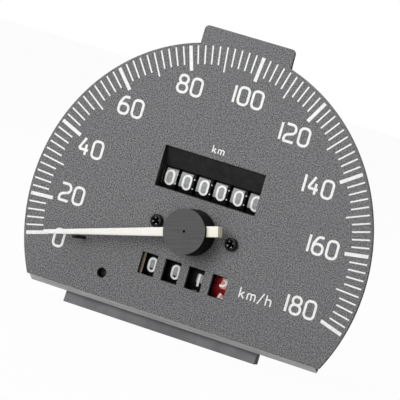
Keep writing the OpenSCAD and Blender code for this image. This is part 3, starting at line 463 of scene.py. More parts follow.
def lettering(name, words, ink_mm, longest=9.0):
    """Strokes of a flat pen as one mesh in the X-Y plane, in metres.
    Each word is (text, middle x, middle y, height, width of a figure, gap, stroke, corner radius)."""
    bpy.ops.curve.primitive_bezier_curve_add()
    pen = bpy.context.object
    pen.data.splines.clear()
    pen.data.dimensions = "3D"
    pen.data.twist_mode = "Z_UP"
    pen.data.use_fill_caps = True
    stroke_mm = words[0][6]
    for text, mid_x, mid_y, height, width, gap, stroke, corner in words:
        widths = [stroke if c == "1" else width * (1.45 if c == "m" else 1) for c in text]
        x = mid_x - (sum(widths) + gap * (len(text) - 1)) / 2
        for c, w in zip(text, widths):
            for order, (corners, closed) in enumerate(FIGURES[c]):
                inner_w, inner_h = max(w - stroke, 0), height - stroke
                scaled = [(p[0] * inner_w, p[1] * inner_h, *p[2:]) for p in corners]
                path = split(rounded(scaled, corner, closed), longest, closed)
                spline = pen.data.splines.new("POLY")
                spline.points.add(len(path) - 1)
                for point, p in zip(spline.points, path):
                    at = Vector((x + stroke / 2 + p.x, mid_y - inner_h / 2 + p.y, 0.008 * order)) * MM
                    point.co = (*at, 1)
                spline.use_cyclic_u = closed
            x += w + gap
    bpy.ops.curve.primitive_bezier_circle_add()
    nib = bpy.context.object
    nib.data.splines.clear()
    nib.data.dimensions = "2D"
    edge = nib.data.splines.new("POLY")
    edge.points.add(3)
    for point, (a, b) in zip(edge.points, [(-1, -1), (1, -1), (1, 1), (-1, 1)]):
        point.co = (a * stroke_mm / 2 * MM, b * ink_mm / 2 * MM, 0, 1)
    edge.use_cyclic_u = True
    pen.data.bevel_mode = "OBJECT"
    pen.data.bevel_object = nib
    hold(pen)
    bpy.ops.object.convert(target="MESH")
    bpy.ops.object.shade_flat()
    bpy.data.objects.remove(nib)
    pen.name = name
    return pen


def coat(piece, material, body):
    """A piece's finish and the body it rides on."""
    piece.data.materials.clear()
    piece.data.materials.append(material)
    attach(piece, body)


def wrap(piece, x, y, z, radius, turn):
    """Lays a flat mesh round a drum whose axis is along X, its middle at a turn below the drum's front."""
    for v in piece.data.vertices:
        angle = v.co.y / (radius * MM) - turn
        reach = radius * MM + v.co.z
        v.co = (x + v.co.x, y - reach * cos(angle), z + reach * sin(angle))


figure_step = 2 * pi / 10
ink_t, pad_t, print_lift = 0.05, 0.02, 0.01
black = moulded_plastic("moulded_black", "#060606", "#0e0e0f")
red = moulded_plastic("moulded_red", "#6c060c", "#860b14")
white_ink = printed_ink("white_figure_ink", "#ececea", "#fafaf8")
pad_ink = printed_ink("grey_pad_ink", "#8a8b8d", "#a5a6a7")
coral_ink = printed_ink("coral_pad_ink", "#d06a5c", "#e3a49c")


def add_pads(node, middle, rim, width, height, least, shift, rise, shown):
    """Ten thin pads round a drum, one behind each figure, the others lower than the shown one's.
    Shift and rise move them off the figure's middle."""
    bpy.ops.mesh.primitive_grid_add(x_subdivisions=6, y_subdivisions=180, size=1)
    pads = bpy.context.object
    pads.name = f"{node}_pads"
    turn_mm = figure_step * rim
    hold(pads)
    bpy.ops.transform.resize(value=(width * MM, turn_mm * 10 * MM, 1))
    bpy.ops.object.transform_apply()
    bpy.ops.object.mode_set(mode="EDIT")
    bpy.ops.mesh.select_all(action="DESELECT")
    bpy.ops.object.mode_set(mode="OBJECT")
    for face in pads.data.polygons:
        place = face.center.y / MM / turn_mm
        reach = height if abs(place) < 0.5 else least
        face.select = abs((place + 0.5) % 1 - 0.5) > reach / turn_mm / 2
    bpy.ops.object.mode_set(mode="EDIT")
    bpy.ops.mesh.delete(type="FACE")
    bpy.ops.object.mode_set(mode="OBJECT")
    modify(pads, "SOLIDIFY", thickness=pad_t * MM, offset=1)
    for v in pads.data.vertices:
        v.co.x += shift * MM
    wrap(pads, *middle, rim, shown * -figure_step - rise / rim)
    return pads


def add_figures(node, width, height, stroke, shown):
    """Ten figures round a drum, on one strip that is wrapped so that the shown count faces the window."""
    low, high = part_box(node)
    rim = (high.z - low.z) / 2 / MM
    side = odo_rim_w if "odometer" in node else trip_rim_w
    middle = (low.x + side / 2 * MM, (low.y + high.y) / 2, (low.z + high.z) / 2)
    strip = [
        (str(n), 0, (shown - n) * figure_step * rim, height, width, 0, stroke, figure_corner)
        for n in range(10)
    ]
    figures = lettering(f"{node}_figures", strip, ink_t, wrap_step)
    wrap(figures, *middle, rim + ink_t, 0)
    coat(figures, white_ink, body_of[node])
    return middle, rim


def add_tooth_dots(node, middle, rim, side):
    """Twenty small white studs at the tips of the ring of teeth, round the drum's right edge."""
    dots = []
    for step in range(tooth_count):
        bpy.ops.mesh.primitive_uv_sphere_add(segments=8, ring_count=6, radius=tip_r * MM)
        dot = bpy.context.object
        turn = 2 * pi * (step + 0.5) / tooth_count
        reach = rim * MM
        dot.location = Vector(middle) + Vector((side * MM, -reach * cos(turn), reach * sin(turn)))
        dots.append(dot)
    hold(*dots)
    bpy.ops.object.join()
    bpy.ops.object.transform_apply()
    dots[0].name = f"{node}_tooth_tips"
    coat(dots[0], white_ink, body_of[node])


odo_rim_w, trip_rim_w, figure_corner, wrap_step = 4.1, 5.4, 1.2, 0.4
tooth_count, tip_r, tip_side = 20, 0.2, 1.95
odo_figure_w, odo_figure_h, odo_stroke = 2.75, 4.2, 0.58
odo_pad_w, odo_pad_h, odo_pad_least, odo_pad_rise = 3.4, 3.9, 2.6, 0.45
first_pad_shift, odo_pad_shift = 0.3, -0.45
for i in range(1, 7):
    node = f"odometer_drum_{i}"
    finish_node(black, node)
    middle, rim = add_figures(node, odo_figure_w, odo_figure_h, odo_stroke, 0)
    shift = first_pad_shift if i == 1 else odo_pad_shift
    pads = add_pads(
        node, middle, rim + print_lift, odo_pad_w, odo_pad_h, odo_pad_least, shift, odo_pad_rise, 0
    )
    coat(pads, pad_ink, body_of[node])
    add_tooth_dots(node, middle, rim, tip_side)
trip_shown = [0, 0, 0.98, 3.37]
trip_figure_w, trip_stroke, trip_pad_w, trip_pad_shift = 2.5, 0.62, 1.7, 0.2
# For the black drums and the red one: figure's height, pad's height, the other pads' height, pad's rise
black_print, red_print = (4.0, 2.9, 2.2, 0.5), (3.6, 3.4, 3.4, -0.5)
for i, shown in enumerate(trip_shown, 1):
    node = f"trip_drum_{i}"
    drum, pad, heights = (red, coral_ink, red_print) if i == 4 else (black, pad_ink, black_print)
    figure_h, pad_h, pad_least, rise = heights
    finish_node(drum, node)
    middle, rim = add_figures(node, trip_figure_w, figure_h, trip_stroke, shown)
    pads = add_pads(
        node, middle, rim + print_lift, trip_pad_w, pad_h, pad_least, trip_pad_shift, rise, shown
    )
    coat(pads, pad, body_of[node])

# Thrust washers: turned brass sleeves on the drums' rods, between the left cheek and the first drums.
# Their rims are dull tan, painted paler than the brass as light the windows' edges shade off them, and show
# as lines in the windows' left ends.


def dull_brass(name, dark, pale):
    # Brass gone dull: tan, hardly shiny, with brown spots 0.6 mm wide
    material, shader, place = start_material(name, 0.6, 0.15)
    spots = add_node(
        material, "ShaderNodeTexNoise", {"Scale": 1 / (0.6 * MM), "Detail": 4}, {"Vector": place}
    )
    shade(material, shader, spots.outputs["Fac"], dark, pale)
    return material


# The washers' pale tan is painted light, since they lie in the windows' shade.
washer_brass_painted_light = dull_brass("dull_brass", "#b3a386", "#dccfb6")
ease_node("odometer_washer", washer_brass_painted_light, 0.05)
ease_node("trip_washer", washer_brass_painted_light, 0.05)

# Odometer mask: thin folded strip, painted matt dark grey, fixed behind the window's top edge.
# It hides the drums' upper half.


def mask_paint():
    # Matt dark paint: almost black, with a faint dusty bloom 2 mm wide
    material, shader, place = start_material("matt_mask_paint", 0.65)
    shader.inputs["Specular IOR Level"].default_value = 0.15
    dust = add_node(
        material, "ShaderNodeTexNoise", {"Scale": 1 / (2 * MM), "Detail": 4}, {"Vector": place}
    )
    shade(material, shader, dust.outputs["Fac"], "#1c1c1d", "#2a2a2b")
    return material


mask_left, mask_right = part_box("odometer_mask")[0].x / MM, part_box("odometer_mask")[1].x / MM
mask_back, mask_top = 1.0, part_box("odometer_mask")[1].z / MM
mask_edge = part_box("odometer_mask")[0].z / MM
mask_edge_depth = (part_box("odometer_mask")[1].y - face_y) / MM
mask_t, mask_flange = 0.45, 3.0


def pick(piece, kind, test):
    """Opens a piece for editing with only the vertices, edges or faces that pass a test selected."""
    if bpy.context.mode != "OBJECT":
        bpy.ops.object.mode_set(mode="OBJECT")
    hold(piece)
    bpy.ops.object.mode_set(mode="EDIT")
    bpy.ops.mesh.select_mode(type=kind)
    bpy.ops.mesh.select_all(action="DESELECT")
    bpy.ops.object.mode_set(mode="OBJECT")
    mesh = piece.data
    for part in {"VERT": mesh.vertices, "EDGE": mesh.edges, "FACE": mesh.polygons}[kind]:
        part.select = test(part)
    bpy.ops.object.mode_set(mode="EDIT")


def push(x, depth, z):
    """Extrudes what is picked by a move in millimetres."""
    bpy.ops.mesh.extrude_region_move(TRANSFORM_OT_translate={"value": (x * MM, depth * MM, z * MM)})


bpy.ops.mesh.primitive_plane_add(size=1, rotation=(pi / 2, 0, 0))
mask = bpy.context.object
mask.name = "folded_mask"
mask.scale = ((mask_right - mask_left) * MM, mask_flange * MM, 1)
mask.location = (
    (mask_left + mask_right) / 2 * MM, face_y + mask_back * MM, (mask_top - mask_flange / 2) * MM
)
hold(mask)
bpy.ops.object.transform_apply()
pick(mask, "VERT", lambda v: v.co.z < (mask_top - 1) * MM)
push(0, mask_edge_depth - mask_t - mask_back, mask_edge - mask_top + mask_flange)
bpy.ops.object.mode_set(mode="OBJECT")
modify(mask, "SOLIDIFY", thickness=mask_t * MM, offset=-1)
ease_edges(mask, 0.08, 2, 40)
stand_for(mask, "odometer_mask", mask_paint())

# Dial plate: sheet aluminium with a grained grey paint, stamped, and folded back along its bottom edge.
# Two black screws hold it to its pillars.
scale_r = 49.0
major_r, minor_r = 42.4, 44.05
broad_mark_w, fine_mark_w = 0.95, 0.42
first_turn, last_turn, mark_steps = 196.0, -16.0, 85
NUMERALS = [
    ("0", -37.4, -12.2), ("20", -37.2, -0.15), ("40", -35.55, 12.97), ("60", -27.55, 26.46),
    ("80", -12.85, 36.33), ("100", 4.13, 37.71), ("120", 19.56, 32.03), ("140", 29.9, 20.94),
    ("160", 35.71, 6.5), ("180", 34.37, -9.92),
]


def grained_paint():
    # Textured stove paint: mid grey broken by paler and darker grains about 0.3 mm wide
    material, shader, place = start_material("grained_grey_paint", 0.62)
    grain = add_node(
        material, "ShaderNodeTexNoise", {"Scale": 1 / (0.3 * MM), "Detail": 2, "Roughness": 0.6},
        {"Vector": place}
    )
    shade(material, shader, grain.outputs["Fac"], "#151516", "#8e8e90", 0.36, 0.66)
    roughen(material, shader, grain.outputs["Fac"], 0.03, 0.5)
    return material


def cut_edge():
    # Sheared edge with paint run over it, painted almost black as shade in the windows and holes, with a
    # little bare metal
    material, shader, place = start_material("sheared_edge_painted_shade", 0.6, 0.2)
    tears = add_node(
        material, "ShaderNodeTexNoise", {"Scale": 1 / (0.25 * MM), "Detail": 3}, {"Vector": place}
    )
    shade(material, shader, tears.outputs["Fac"], "#0e0d0c", "#2c2a27")
    return material


def rubbed_lip():
    # Folded lip: the paint is thin and rubbed smooth, with streaks 8 mm long, and it is painted
    # paler than the dial as painted light from below
    material, shader, place = start_material("rubbed_lip", 0.5, 0.1)
    streaks = add_node(material, "ShaderNodeMapping", {"Scale": (0.1, 1, 1)}, {"Vector": place})
    rubbed = add_node(
        material, "ShaderNodeTexNoise", {"Scale": 1 / (0.8 * MM), "Detail": 3},
        {"Vector": streaks.outputs["Vector"]}
    )
    shade(material, shader, rubbed.outputs["Fac"], "#b6b4b4", "#cfcdcd")
    return material


def add_scale_marks():
    """White marks from the scale's first turn to its last, every tenth one broad, as one thin mesh."""
    bars = []
    for step in range(mark_steps + 1):
        turn = radians(first_turn + (last_turn - first_turn) * step / mark_steps)
        broad, mid = step % 10 == 5 or step == 0, step % 5 == 0
        inner = major_r if mid else minor_r
        bpy.ops.mesh.primitive_cube_add(size=MM)
        bar = bpy.context.object
        bar.scale = (scale_r - inner, ink_t, broad_mark_w if broad else fine_mark_w)
        bar.rotation_euler = (0, -turn, 0)
        middle = (scale_r + inner) / 2 * MM
        bar.location = (middle * cos(turn), face_y, middle * sin(turn))
        bars.append(bar)
    hold(*bars)
    bpy.ops.object.transform_apply()
    bpy.ops.object.join()
    bars[0].name = "scale_marks"
    return bars[0]


def stand_up(piece, depth_mm):
    """Turns a flat mesh drawn in the X-Y plane to face the reader at a depth behind the dial."""
    piece.rotation_euler = (pi / 2, 0, 0)
    piece.location = (0, face_y + depth_mm * MM, 0)
    hold(piece)
    bpy.ops.object.transform_apply()


def add_block(low, high):
    """A block between two corners in millimetres, as (right, depth behind the dial's face, up)."""
    bpy.ops.mesh.primitive_cube_add(size=1)
    block = bpy.context.object
    block.scale = [(b - a) * MM for a, b in zip(low, high)]
    block.location = Vector([(a + b) / 2 * MM for a, b in zip(low, high)]) + Vector((0, face_y, 0))
    hold(block)
    bpy.ops.object.transform_apply()
    return block


def add_bar(x, z, front, back, radius, sides=64):
    """A round bar along the depth, between two depths."""
    bpy.ops.mesh.primitive_cylinder_add(
        vertices=sides, radius=radius * MM, depth=(back - front) * MM, rotation=(pi / 2, 0, 0),
        location=(x * MM, face_y + (front + back) / 2 * MM, z * MM)
    )
    bar = bpy.context.object
    bpy.ops.object.transform_apply()
    return bar


def combine(piece, tool, way):
    """Cuts a tool's shape out of a piece, or joins it on, and puts the tool away."""
    modify(piece, "BOOLEAN", object=tool, operation=way, solver="EXACT")
    bpy.data.objects.remove(tool)


dial_r, dial_t, dial_drop = 49.7, 1.0, 23.7
lip_w, lip_l, lip_turn, lip_round = 85.8, 2.7, radians(57), 0.6
tab_w, tab_top, tab_round = 26.6, 52.9, 1.3
odo_window_w, odo_window_h, odo_window_x, odo_window_z = 29.6, 10.85, 0.05, 14.28
trip_window_w, trip_window_h, trip_window_x, trip_window_z = 4.5, 5.7, 0.05, -11.6
trip_pitch, trip_count = 7.0, 4
screw_apart, screw_hole_r, spindle_way_r = 22.2, 1.0, 2.6
reset_x, reset_z, reset_hole_r = -22.6, -17.5, 1.25
windows_reach, windows_low = 40, -20

dial = add_bar(0, 0, 0, dial_t, dial_r, 256)
dial.name = "painted_dial"
pick(dial, "FACE", lambda face: True)
bpy.ops.mesh.bisect(
    plane_co=(0, face_y, -dial_drop * MM), plane_no=(0, 0, 1), use_fill=True, clear_inner=True
)
bpy.ops.object.mode_set(mode="OBJECT")
tab = add_block((-tab_w / 2, 0, dial_r - 6), (tab_w / 2, dial_t, tab_top))


def ends(piece, edge):
    """The places of an edge's two ends."""
    return [piece.data.vertices[i].co for i in edge.vertices]


pick(tab, "EDGE", lambda edge: all(end.z > (tab_top - 1) * MM for end in ends(tab, edge))
    and abs(ends(tab, edge)[0].x - ends(tab, edge)[1].x) < MM)
bpy.ops.mesh.bevel(offset=tab_round * MM, segments=6)
bpy.ops.object.mode_set(mode="OBJECT")
combine(dial, tab, "UNION")
mitre = dial_t * tan(lip_turn / 2)
lip = add_block((-lip_w / 2, 0, -dial_drop), (lip_w / 2, dial_t, -dial_drop + 1))
pick(lip, "FACE", lambda face: face.normal.z < -0.9)
push(0, lip_l * sin(lip_turn), -lip_l * cos(lip_turn))
bend_z, end_z = -dial_drop, -dial_drop - lip_l * cos(lip_turn)
pick(lip, "VERT", lambda v: abs(v.co.z / MM - bend_z) < 0.01 and v.co.y > face_y + 0.5 * MM)
bpy.ops.transform.translate(value=(0, 0, mitre * MM))
end_back = face_y + (lip_l * sin(lip_turn) + 0.5) * MM
pick(lip, "VERT", lambda v: abs(v.co.z / MM - end_z) < 0.01 and v.co.y > end_back)
bpy.ops.transform.translate(value=(0, dial_t * (cos(lip_turn) - 1) * MM, dial_t * sin(lip_turn) * MM))
end_low = (end_z + dial_t) * MM
pick(lip, "EDGE", lambda edge: all(end.z < end_low and end.x > 0 for end in ends(lip, edge)))
bpy.ops.mesh.bevel(offset=lip_round * MM, segments=4)
bpy.ops.object.mode_set(mode="OBJECT")
combine(dial, lip, "UNION")


def cut_window(x, z, w, h):
    """Cuts a square-cornered window through the dial."""
    window = add_block((x - w / 2, -1, z - h / 2), (x + w / 2, dial_t + 1, z + h / 2))
    combine(dial, window, "DIFFERENCE")


cut_window(odo_window_x, odo_window_z, odo_window_w, odo_window_h)
for i in range(trip_count):
    x = trip_window_x + trip_pitch * (i - (trip_count - 1) / 2)
    cut_window(x, trip_window_z, trip_window_w, trip_window_h)
for x, z, radius in [
    (0, 0, spindle_way_r), (-screw_apart / 2, 0, screw_hole_r), (screw_apart / 2, 0, screw_hole_r),
    (reset_x, reset_z, reset_hole_r)
]:
    combine(dial, add_bar(x, z, -1, dial_t + 1, radius), "DIFFERENCE")
clean(dial, 0.06)
ease_edges(dial, 0.12)
stand_for(dial, "dial_plate", grained_paint(), cut_edge(), rubbed_lip())
for face in dial.data.polygons:
    x, z = face.center.x / MM, face.center.z / MM
    # The walls of the windows and holes take the almost black edge: painted shade.
    if abs(face.normal.y) < 0.95 and x * x + z * z < windows_reach ** 2 and z > windows_low:
        face.material_index = 1
    # The lip's underside takes the pale lip paint: rubbed paint and painted light from below.
    if z < -dial_drop and face.normal.z < -0.6:
        face.material_index = 2

# Trip bracket: a small stamped brass strip against the back of the dial, at the first trip window.
# It has browned, and only its edge shows.
bracket_left, bracket_right, bracket_low, bracket_high = -13.8, -12.0, -15.8, -7.4
bracket_t, bracket_round = 0.3, 0.6
bracket = add_block(
    (bracket_left, dial_t, bracket_low), (bracket_right, dial_t + bracket_t, bracket_high)
)
bracket.name = "trip_bracket_edge"
pick(bracket, "EDGE", lambda edge: abs(
    ends(bracket, edge)[0].y - ends(bracket, edge)[1].y) > bracket_t / 3 * MM)
bpy.ops.mesh.bevel(offset=bracket_round * MM, segments=4)
bpy.ops.object.mode_set(mode="OBJECT")
ease_edges(bracket, 0.05)
coat(bracket, dull_brass("browned_brass", "#5f5847", "#827963"), "movement")

# Printing on the dial: the marks of the scale, its numerals and the two units, in white ink.
# It is screen printed on the grained paint and stands out from it by the ink's thickness.
dial_ink = printed_ink("white_dial_ink", "#e4e4e2", "#f6f6f4")
marks = add_scale_marks()
coat(marks, dial_ink, "movement")
numeral_sizes = (5.2, 3.5, 0.55, 0.7, 1.1)
for name, words in {
    "scale_numerals": [(*numeral, *numeral_sizes) for numeral in NUMERALS],
    "counter_unit": [("km", 0.1, 22.36, 2.25, 1.35, 0.3, 0.31, 0.3)],
    "speed_unit": [("km/h", 21.48, -11.04, 3.1, 1.75, 0.55, 0.36, 0.4)],
}.items():
    print_on_dial = lettering(name, words, ink_t)
    stand_up(print_on_dial, 0)
    coat(print_on_dial, dial_ink, "movement")

# Dial screws, stop pin and reset plunger: small steel pieces, turned and chemically blackened.
# The screws hold the dial to its pillars, the pin is pressed in, and the plunger slides in its hole.


def black_steel():
    # Chemically blackened steel: oily black, a little paler in rubbed places 0.7 mm wide
    material, shader, place = start_material("blackened_steel", 0.32, 0.0)
    shader.inputs["Specular IOR Level"].default_value = 0.2
    rubbed = add_node(
        material, "ShaderNodeTexNoise", {"Scale": 1 / (0.7 * MM), "Detail": 3}, {"Vector": place}
    )
    shade(material, shader, rubbed.outputs["Fac"], "#030303", "#0a0a0a")
    return material


blackened = black_steel()


def rubbed_steel():
    # Bare steel where the driver has rubbed the black off, painted pale so the chamfers show as glints:
    # bright, with scratches 0.2 mm apart
    material, shader, place = start_material("bare_steel_painted_glints", 0.45, 0.3)
    scratches = add_node(
        material, "ShaderNodeTexNoise", {"Scale": 1 / (0.2 * MM), "Detail": 2}, {"Vector": place}
    )
    shade(material, shader, scratches.outputs["Fac"], "#b4b4b2", "#e0e0de")
    return material


def packed_dirt():
    # Painted shade in the screws' recesses: dull and quite black, with specks 0.15 mm wide
    material, shader, place = start_material("packed_dirt", 0.95)
    shader.inputs["Specular IOR Level"].default_value = 0.0
    specks = add_node(
        material, "ShaderNodeTexNoise", {"Scale": 1 / (0.15 * MM), "Detail": 2}, {"Vector": place}
    )
    shade(material, shader, specks.outputs["Fac"], "#020202", "#0a0908")
    return material


def add_screw(x, turn):
    """A pan-head screw with a cross recess whose inner corners are chamfered, its head against the dial."""
    bpy.ops.mesh.primitive_cylinder_add(vertices=64, radius=screw_r * MM, depth=screw_h * MM)
    head = bpy.context.object
    ease_edges(head, head_round, 5)
    for way in (0, pi / 2):
        bpy.ops.mesh.primitive_cube_add(size=1, location=(0, 0, screw_h / 2 * MM))
        blade = bpy.context.object
        blade.scale = (cross_l * MM, cross_w * MM, cross_d * MM)
        hold(blade)
        bpy.ops.object.transform_apply(location=False)
        for v in blade.data.vertices:
            if v.co.z < 0:
                v.co.x *= 0.5
        blade.rotation_euler = (0, 0, way)
        bpy.ops.object.transform_apply()
        combine(head, blade, "DIFFERENCE")
    bpy.ops.mesh.primitive_cone_add(
        vertices=32, radius1=chamfer_low_r * MM, radius2=chamfer_r * MM, depth=chamfer_d * MM
    )
    cone = bpy.context.object
    cone.location = (0, 0, (screw_h / 2 - chamfer_sunk) * MM)
    hold(cone)
    bpy.ops.object.transform_apply()
    combine(head, cone, "DIFFERENCE")
    head.rotation_euler = (pi / 2, turn, 0)
    head.location = (x * MM, face_y - screw_h / 2 * MM, 0)
    hold(head)
    bpy.ops.object.transform_apply()
    return head


screw_r, screw_h, head_round = 1.75, 1.3, 0.45
cross_l, cross_w, cross_d = 3.2, 0.84, 1.6
chamfer_low_r, chamfer_r, chamfer_d, chamfer_sunk = 0.55, 0.9, 0.4, 0.19
screws = [add_screw(-screw_apart / 2, radians(25)), add_screw(screw_apart / 2, radians(12))]
hold(*screws)
bpy.ops.object.join()
screws[0].name = "dial_screw_heads"
stand_for(screws[0], "dial_screws", blackened, rubbed_steel(), packed_dirt())
for face in screws[0].data.polygons:
    out = Vector((abs(face.center.x) / MM - screw_apart / 2, face.center.z / MM)).length
    # The chamfers at the recess's inner corners take the pale steel: rubbed steel and painted glints.
    if out < 0.92 and -0.95 < face.normal.y < -0.4:
        face.material_index = 1
    # The recesses' walls and floor take the black: painted shade.
    elif out < screw_r - 0.2 and (face.normal.y > -0.2 or face.center.y > face_y - 0.9 * MM):
        face.material_index = 2
ease_node("stop_pin", blackened, 0.1)
finish_node(blackened, "reset_plunger")

# Reset spring: drawn steel wire, coiled on the plunger between its collar and the front plate.
# On the real piece it shortens as the plunger is pressed; here it keeps one length.
spring_low, spring_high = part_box("reset_spring")
spring_turns, spring_wire, turn_steps = 5, 0.22, 24
spring_middle = (spring_low + spring_high) / 2
spring_r = (spring_high.x - spring_low.x) / 2 - spring_wire * MM
spring_run = spring_high.y - spring_low.y - 2 * spring_wire * MM
bpy.ops.curve.primitive_bezier_curve_add()
spring = bpy.context.object
spring.name = "reset_coil"
spring.data.splines.clear()
spring.data.dimensions = "3D"
spring.data.bevel_depth = spring_wire * MM
spring.data.bevel_resolution = 2
spring.data.use_fill_caps = True
wire = spring.data.splines.new("POLY")
wire.points.add(spring_turns * turn_steps)
for i, point in enumerate(wire.points):
    turn = 2 * pi * i / turn_steps
    along = spring_low.y + spring_wire * MM + spring_run * i / (spring_turns * turn_steps)
    across, up = spring_r * cos(turn), spring_r * sin(turn)
    point.co = (spring_middle.x + across, along, spring_middle.z + up, 1)
hold(spring)
bpy.ops.object.convert(target="MESH")
bpy.ops.object.shade_smooth()
stand_for(spring, "reset_spring", ground)
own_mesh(spring)

# Pointer: an ivory plastic blade let into a dark grey hub, which is pressed on the spindle.
# Both are moulded. The hub's flat face is grey and its sides black: painted light and shade. It rests at
# nought, against the stop pin.


def ivory_plastic():
    # Moulded ivory plastic: warm white with soft clouds 5 mm wide, more yellow at the tail
    material, shader, place = start_material("ivory_plastic", 0.42)
    clouds = add_node(
        material, "ShaderNodeTexNoise", {"Scale": 1 / (5 * MM), "Detail": 3}, {"Vector": place}
    )
    ramp = shade(material, shader, clouds.outputs["Fac"], "#f5f1e4", "#fdfbf3")
    across = add_node(material, "ShaderNodeSeparateXYZ", {}, {"Vector": place})
    tail = add_node(
        material, "ShaderNodeMapRange", {"From Min": 4 * MM, "From Max": 7 * MM},
        {"Value": across.outputs["X"]}
    )
    aged = add_node(
        material, "ShaderNodeMixRGB", {"Color2": linear("#fdf7e2")},
        {"Fac": tail.outputs[0], "Color1": ramp.outputs["Color"]}
    )
    material.node_tree.links.new(aged.outputs[0], shader.inputs["Base Color"])
    shader.inputs["Subsurface Weight"].default_value = 0.4
    shader.inputs["Subsurface Scale"].default_value = 1.0
    shader.inputs["Subsurface Radius"].default_value = (3.0 * MM, 2.6 * MM, 1.4 * MM)
    return material


def ground_hub():
    # Hub's face: dark grey with fine scratches along the pointer, 0.25 mm apart,
    # painted as the lit side of the hub against its black sides
    material, shader, place = start_material("hub_face_lit_grey", 0.6)
    shader.inputs["Specular IOR Level"].default_value = 0.15
    along = add_node(
        material, "ShaderNodeMapping",
        {"vector_type": "TEXTURE", "Rotation": (0, radians(-16), 0), "Scale": (25, 1, 1)},
        {"Vector": place}
    )
    scratches = add_node(
        material, "ShaderNodeTexNoise", {"Scale": 1 / (0.25 * MM), "Detail": 3},
        {"Vector": along.outputs["Vector"]}
    )
    shade(material, shader, scratches.outputs["Fac"], "#4c4c4c", "#5c5b5b")
    roughen(material, shader, scratches.outputs["Fac"], 0.01, 0.3)
    return material


rest_turn = radians(first_turn)
pointer_front, pointer_back = -5.9, -3.1
tail_end, root_at, taper_at, tip_at = -9.2, 5.15, 6.1, 41.5
tail_w, root_w, tip_w, tip_h = 2.8, 2.35, 1.05, 1.1
hub_r, hub_face_r, hub_front, hub_back = 6.1, 6.0, -6.9, -0.5
spindle_hole_r, centre_hole_r, slot_gap = 0.77, 0.35, 0.02
pointer_h = pointer_back - pointer_front


def to_rest(piece):
    """Turns a piece that is drawn along X to the pointer's place at zero."""
    piece.rotation_euler = (0, -rest_turn, 0)
    hold(piece)
    bpy.ops.object.transform_apply()


blade = add_block((tail_end, pointer_front, -tail_w / 2), (root_at, pointer_back, tail_w / 2))
blade.name = "ivory_blade"
pick(blade, "FACE", lambda face: face.normal.x > 0.9)
push(0, 0, 0)
bpy.ops.transform.resize(value=(1, 1, root_w / tail_w))
push(taper_at - root_at, 0, 0)
push(tip_at - taper_at, 0, 0)
bpy.ops.transform.resize(value=(1, tip_h / pointer_h, tip_w / root_w))
bpy.ops.object.mode_set(mode="OBJECT")
combine(blade, add_bar(0, 0, pointer_front - 1, 0, spindle_hole_r), "DIFFERENCE")
to_rest(blade)
ease_edges(blade, 0.08)
stand_for(blade, "pointer_blade", ivory_plastic())

hub = add_bar(0, 0, hub_front, hub_back, hub_r, 128)
hub.name = "pointer_cap"
pick(hub, "FACE", lambda face: face.normal.y < -0.9)
bpy.ops.transform.resize(value=(hub_face_r / hub_r, 1, hub_face_r / hub_r))
bpy.ops.object.mode_set(mode="OBJECT")
slot = add_block(
    (-hub_r - 1, pointer_front - slot_gap, -tail_w / 2 - slot_gap),
    (hub_r + 1, pointer_back + slot_gap, tail_w / 2 + slot_gap)
)
to_rest(slot)
combine(hub, slot, "DIFFERENCE")
combine(hub, add_bar(0, 0, pointer_back - 1, 0, spindle_hole_r), "DIFFERENCE")
combine(hub, add_bar(0, 0, hub_front - 1, pointer_front, centre_hole_r), "DIFFERENCE")
clean(hub, 0.06)
ease_edges(hub, 0.3)
stand_for(hub, "pointer_hub", black, ground_hub())
# The hub's face takes the grey and its sides the black: painted light and shade.
for face in hub.data.polygons:
    if face.normal.y < -0.9:
        face.material_index = 1

# Studio: a pale floor just under the foot, a white surround, and the camera at the photograph's angle.
# A soft key lamp stands at the left, with a weak fill at the right, one above and one behind.
camera_place = (389.2, -879.6, 67.7)
camera_right = Vector((0.8720, 0.4054, 0.2744))
camera_up = Vector((-0.2752, -0.0576, 0.9597))
camera_lens, camera_sensor = 333.4, 36
bpy.ops.object.camera_add()
camera = bpy.context.object
away = camera_right.cross(camera_up)
axes = Matrix((camera_right, camera_up, away)).transposed().to_4x4()
camera.matrix_world = Matrix.Translation(Vector(camera_place) * MM + Vector((0, face_y, 0))) @ axes
camera.data.lens = camera_lens
camera.data.sensor_width = camera_sensor
bpy.context.scene.camera = camera

floor_size, floor_gap = 4, 0.05
bpy.ops.mesh.primitive_plane_add(size=floor_size, location=(0, 0, solid_box[0][2] - floor_gap * MM))
floor = bpy.context.object
floor.name = "floor"


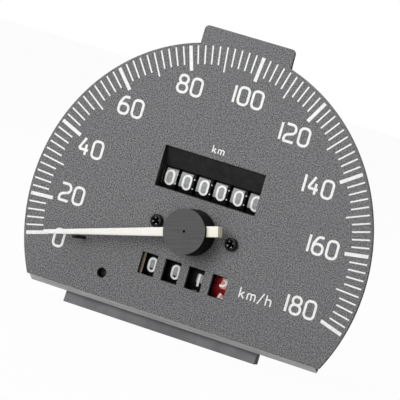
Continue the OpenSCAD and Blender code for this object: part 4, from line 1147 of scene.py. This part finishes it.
def background_share(owner):
    """How much of the plain white background a ray sees: all for the camera, part for a reflection."""
    seen = add_node(owner, "ShaderNodeLightPath", {})
    share = add_node(
        owner, "ShaderNodeMath", {"operation": "MULTIPLY_ADD", 1: reflected_share},
        {0: seen.outputs["Is Glossy Ray"], 2: seen.outputs["Is Camera Ray"]}
    )
    return share.outputs[0]


reflected_share, floor_white, world_light = 0.3, 0.97, 0.07
# White paper: matt, plain and almost without shadow to the camera, and pale grey to the object
paper, paper_shader, _ = start_material("white_paper", 0.9)
paper_shader.inputs["Base Color"].default_value = linear("#c8c8c8")
glow = add_node(paper, "ShaderNodeEmission", {"Strength": 1.0})
share = add_node(
    paper, "ShaderNodeMath", {"operation": "MULTIPLY", 1: floor_white}, {0: background_share(paper)}
)
mixed = add_node(
    paper, "ShaderNodeMixShader", {},
    {0: share.outputs[0], 1: paper_shader.outputs[0], 2: glow.outputs[0]}
)
paper.node_tree.links.new(mixed.outputs[0], paper.node_tree.nodes["Material Output"].inputs["Surface"])
floor.data.materials.append(paper)

world = bpy.data.worlds.new("studio")
bpy.context.scene.world = world
world.use_nodes = True
sky = world.node_tree.nodes["Background"]
level = add_node(
    world, "ShaderNodeMapRange", {"To Min": world_light, "To Max": 1.0},
    {"Value": background_share(world)}
)
world.node_tree.links.new(level.outputs[0], sky.inputs["Strength"])
sky.inputs["Color"].default_value = (1, 1, 1, 1)


def add_lamp(name, place, size, power):
    """A soft square lamp that looks at the middle of the dial."""
    bpy.ops.object.light_add(type="AREA", location=place)
    lamp = bpy.context.object
    lamp.name = name
    lamp.data.size = size
    lamp.data.energy = power
    lamp.rotation_euler = (Vector((0, face_y, 0)) - Vector(place)).to_track_quat("-Z", "Y").to_euler()


add_lamp("key_lamp", (-0.24, -0.72, 0.2), 0.45, 3.4)
add_lamp("fill_lamp", (0.5, -0.7, 0.05), 0.3, 0.8)
add_lamp("top_lamp", (-0.08, -0.34, 0.5), 0.4, 1.2)
add_lamp("back_lamp", (-0.1, 0.5, 0.8), 0.6, 4)

bpy.context.scene.view_settings.view_transform = "Standard"
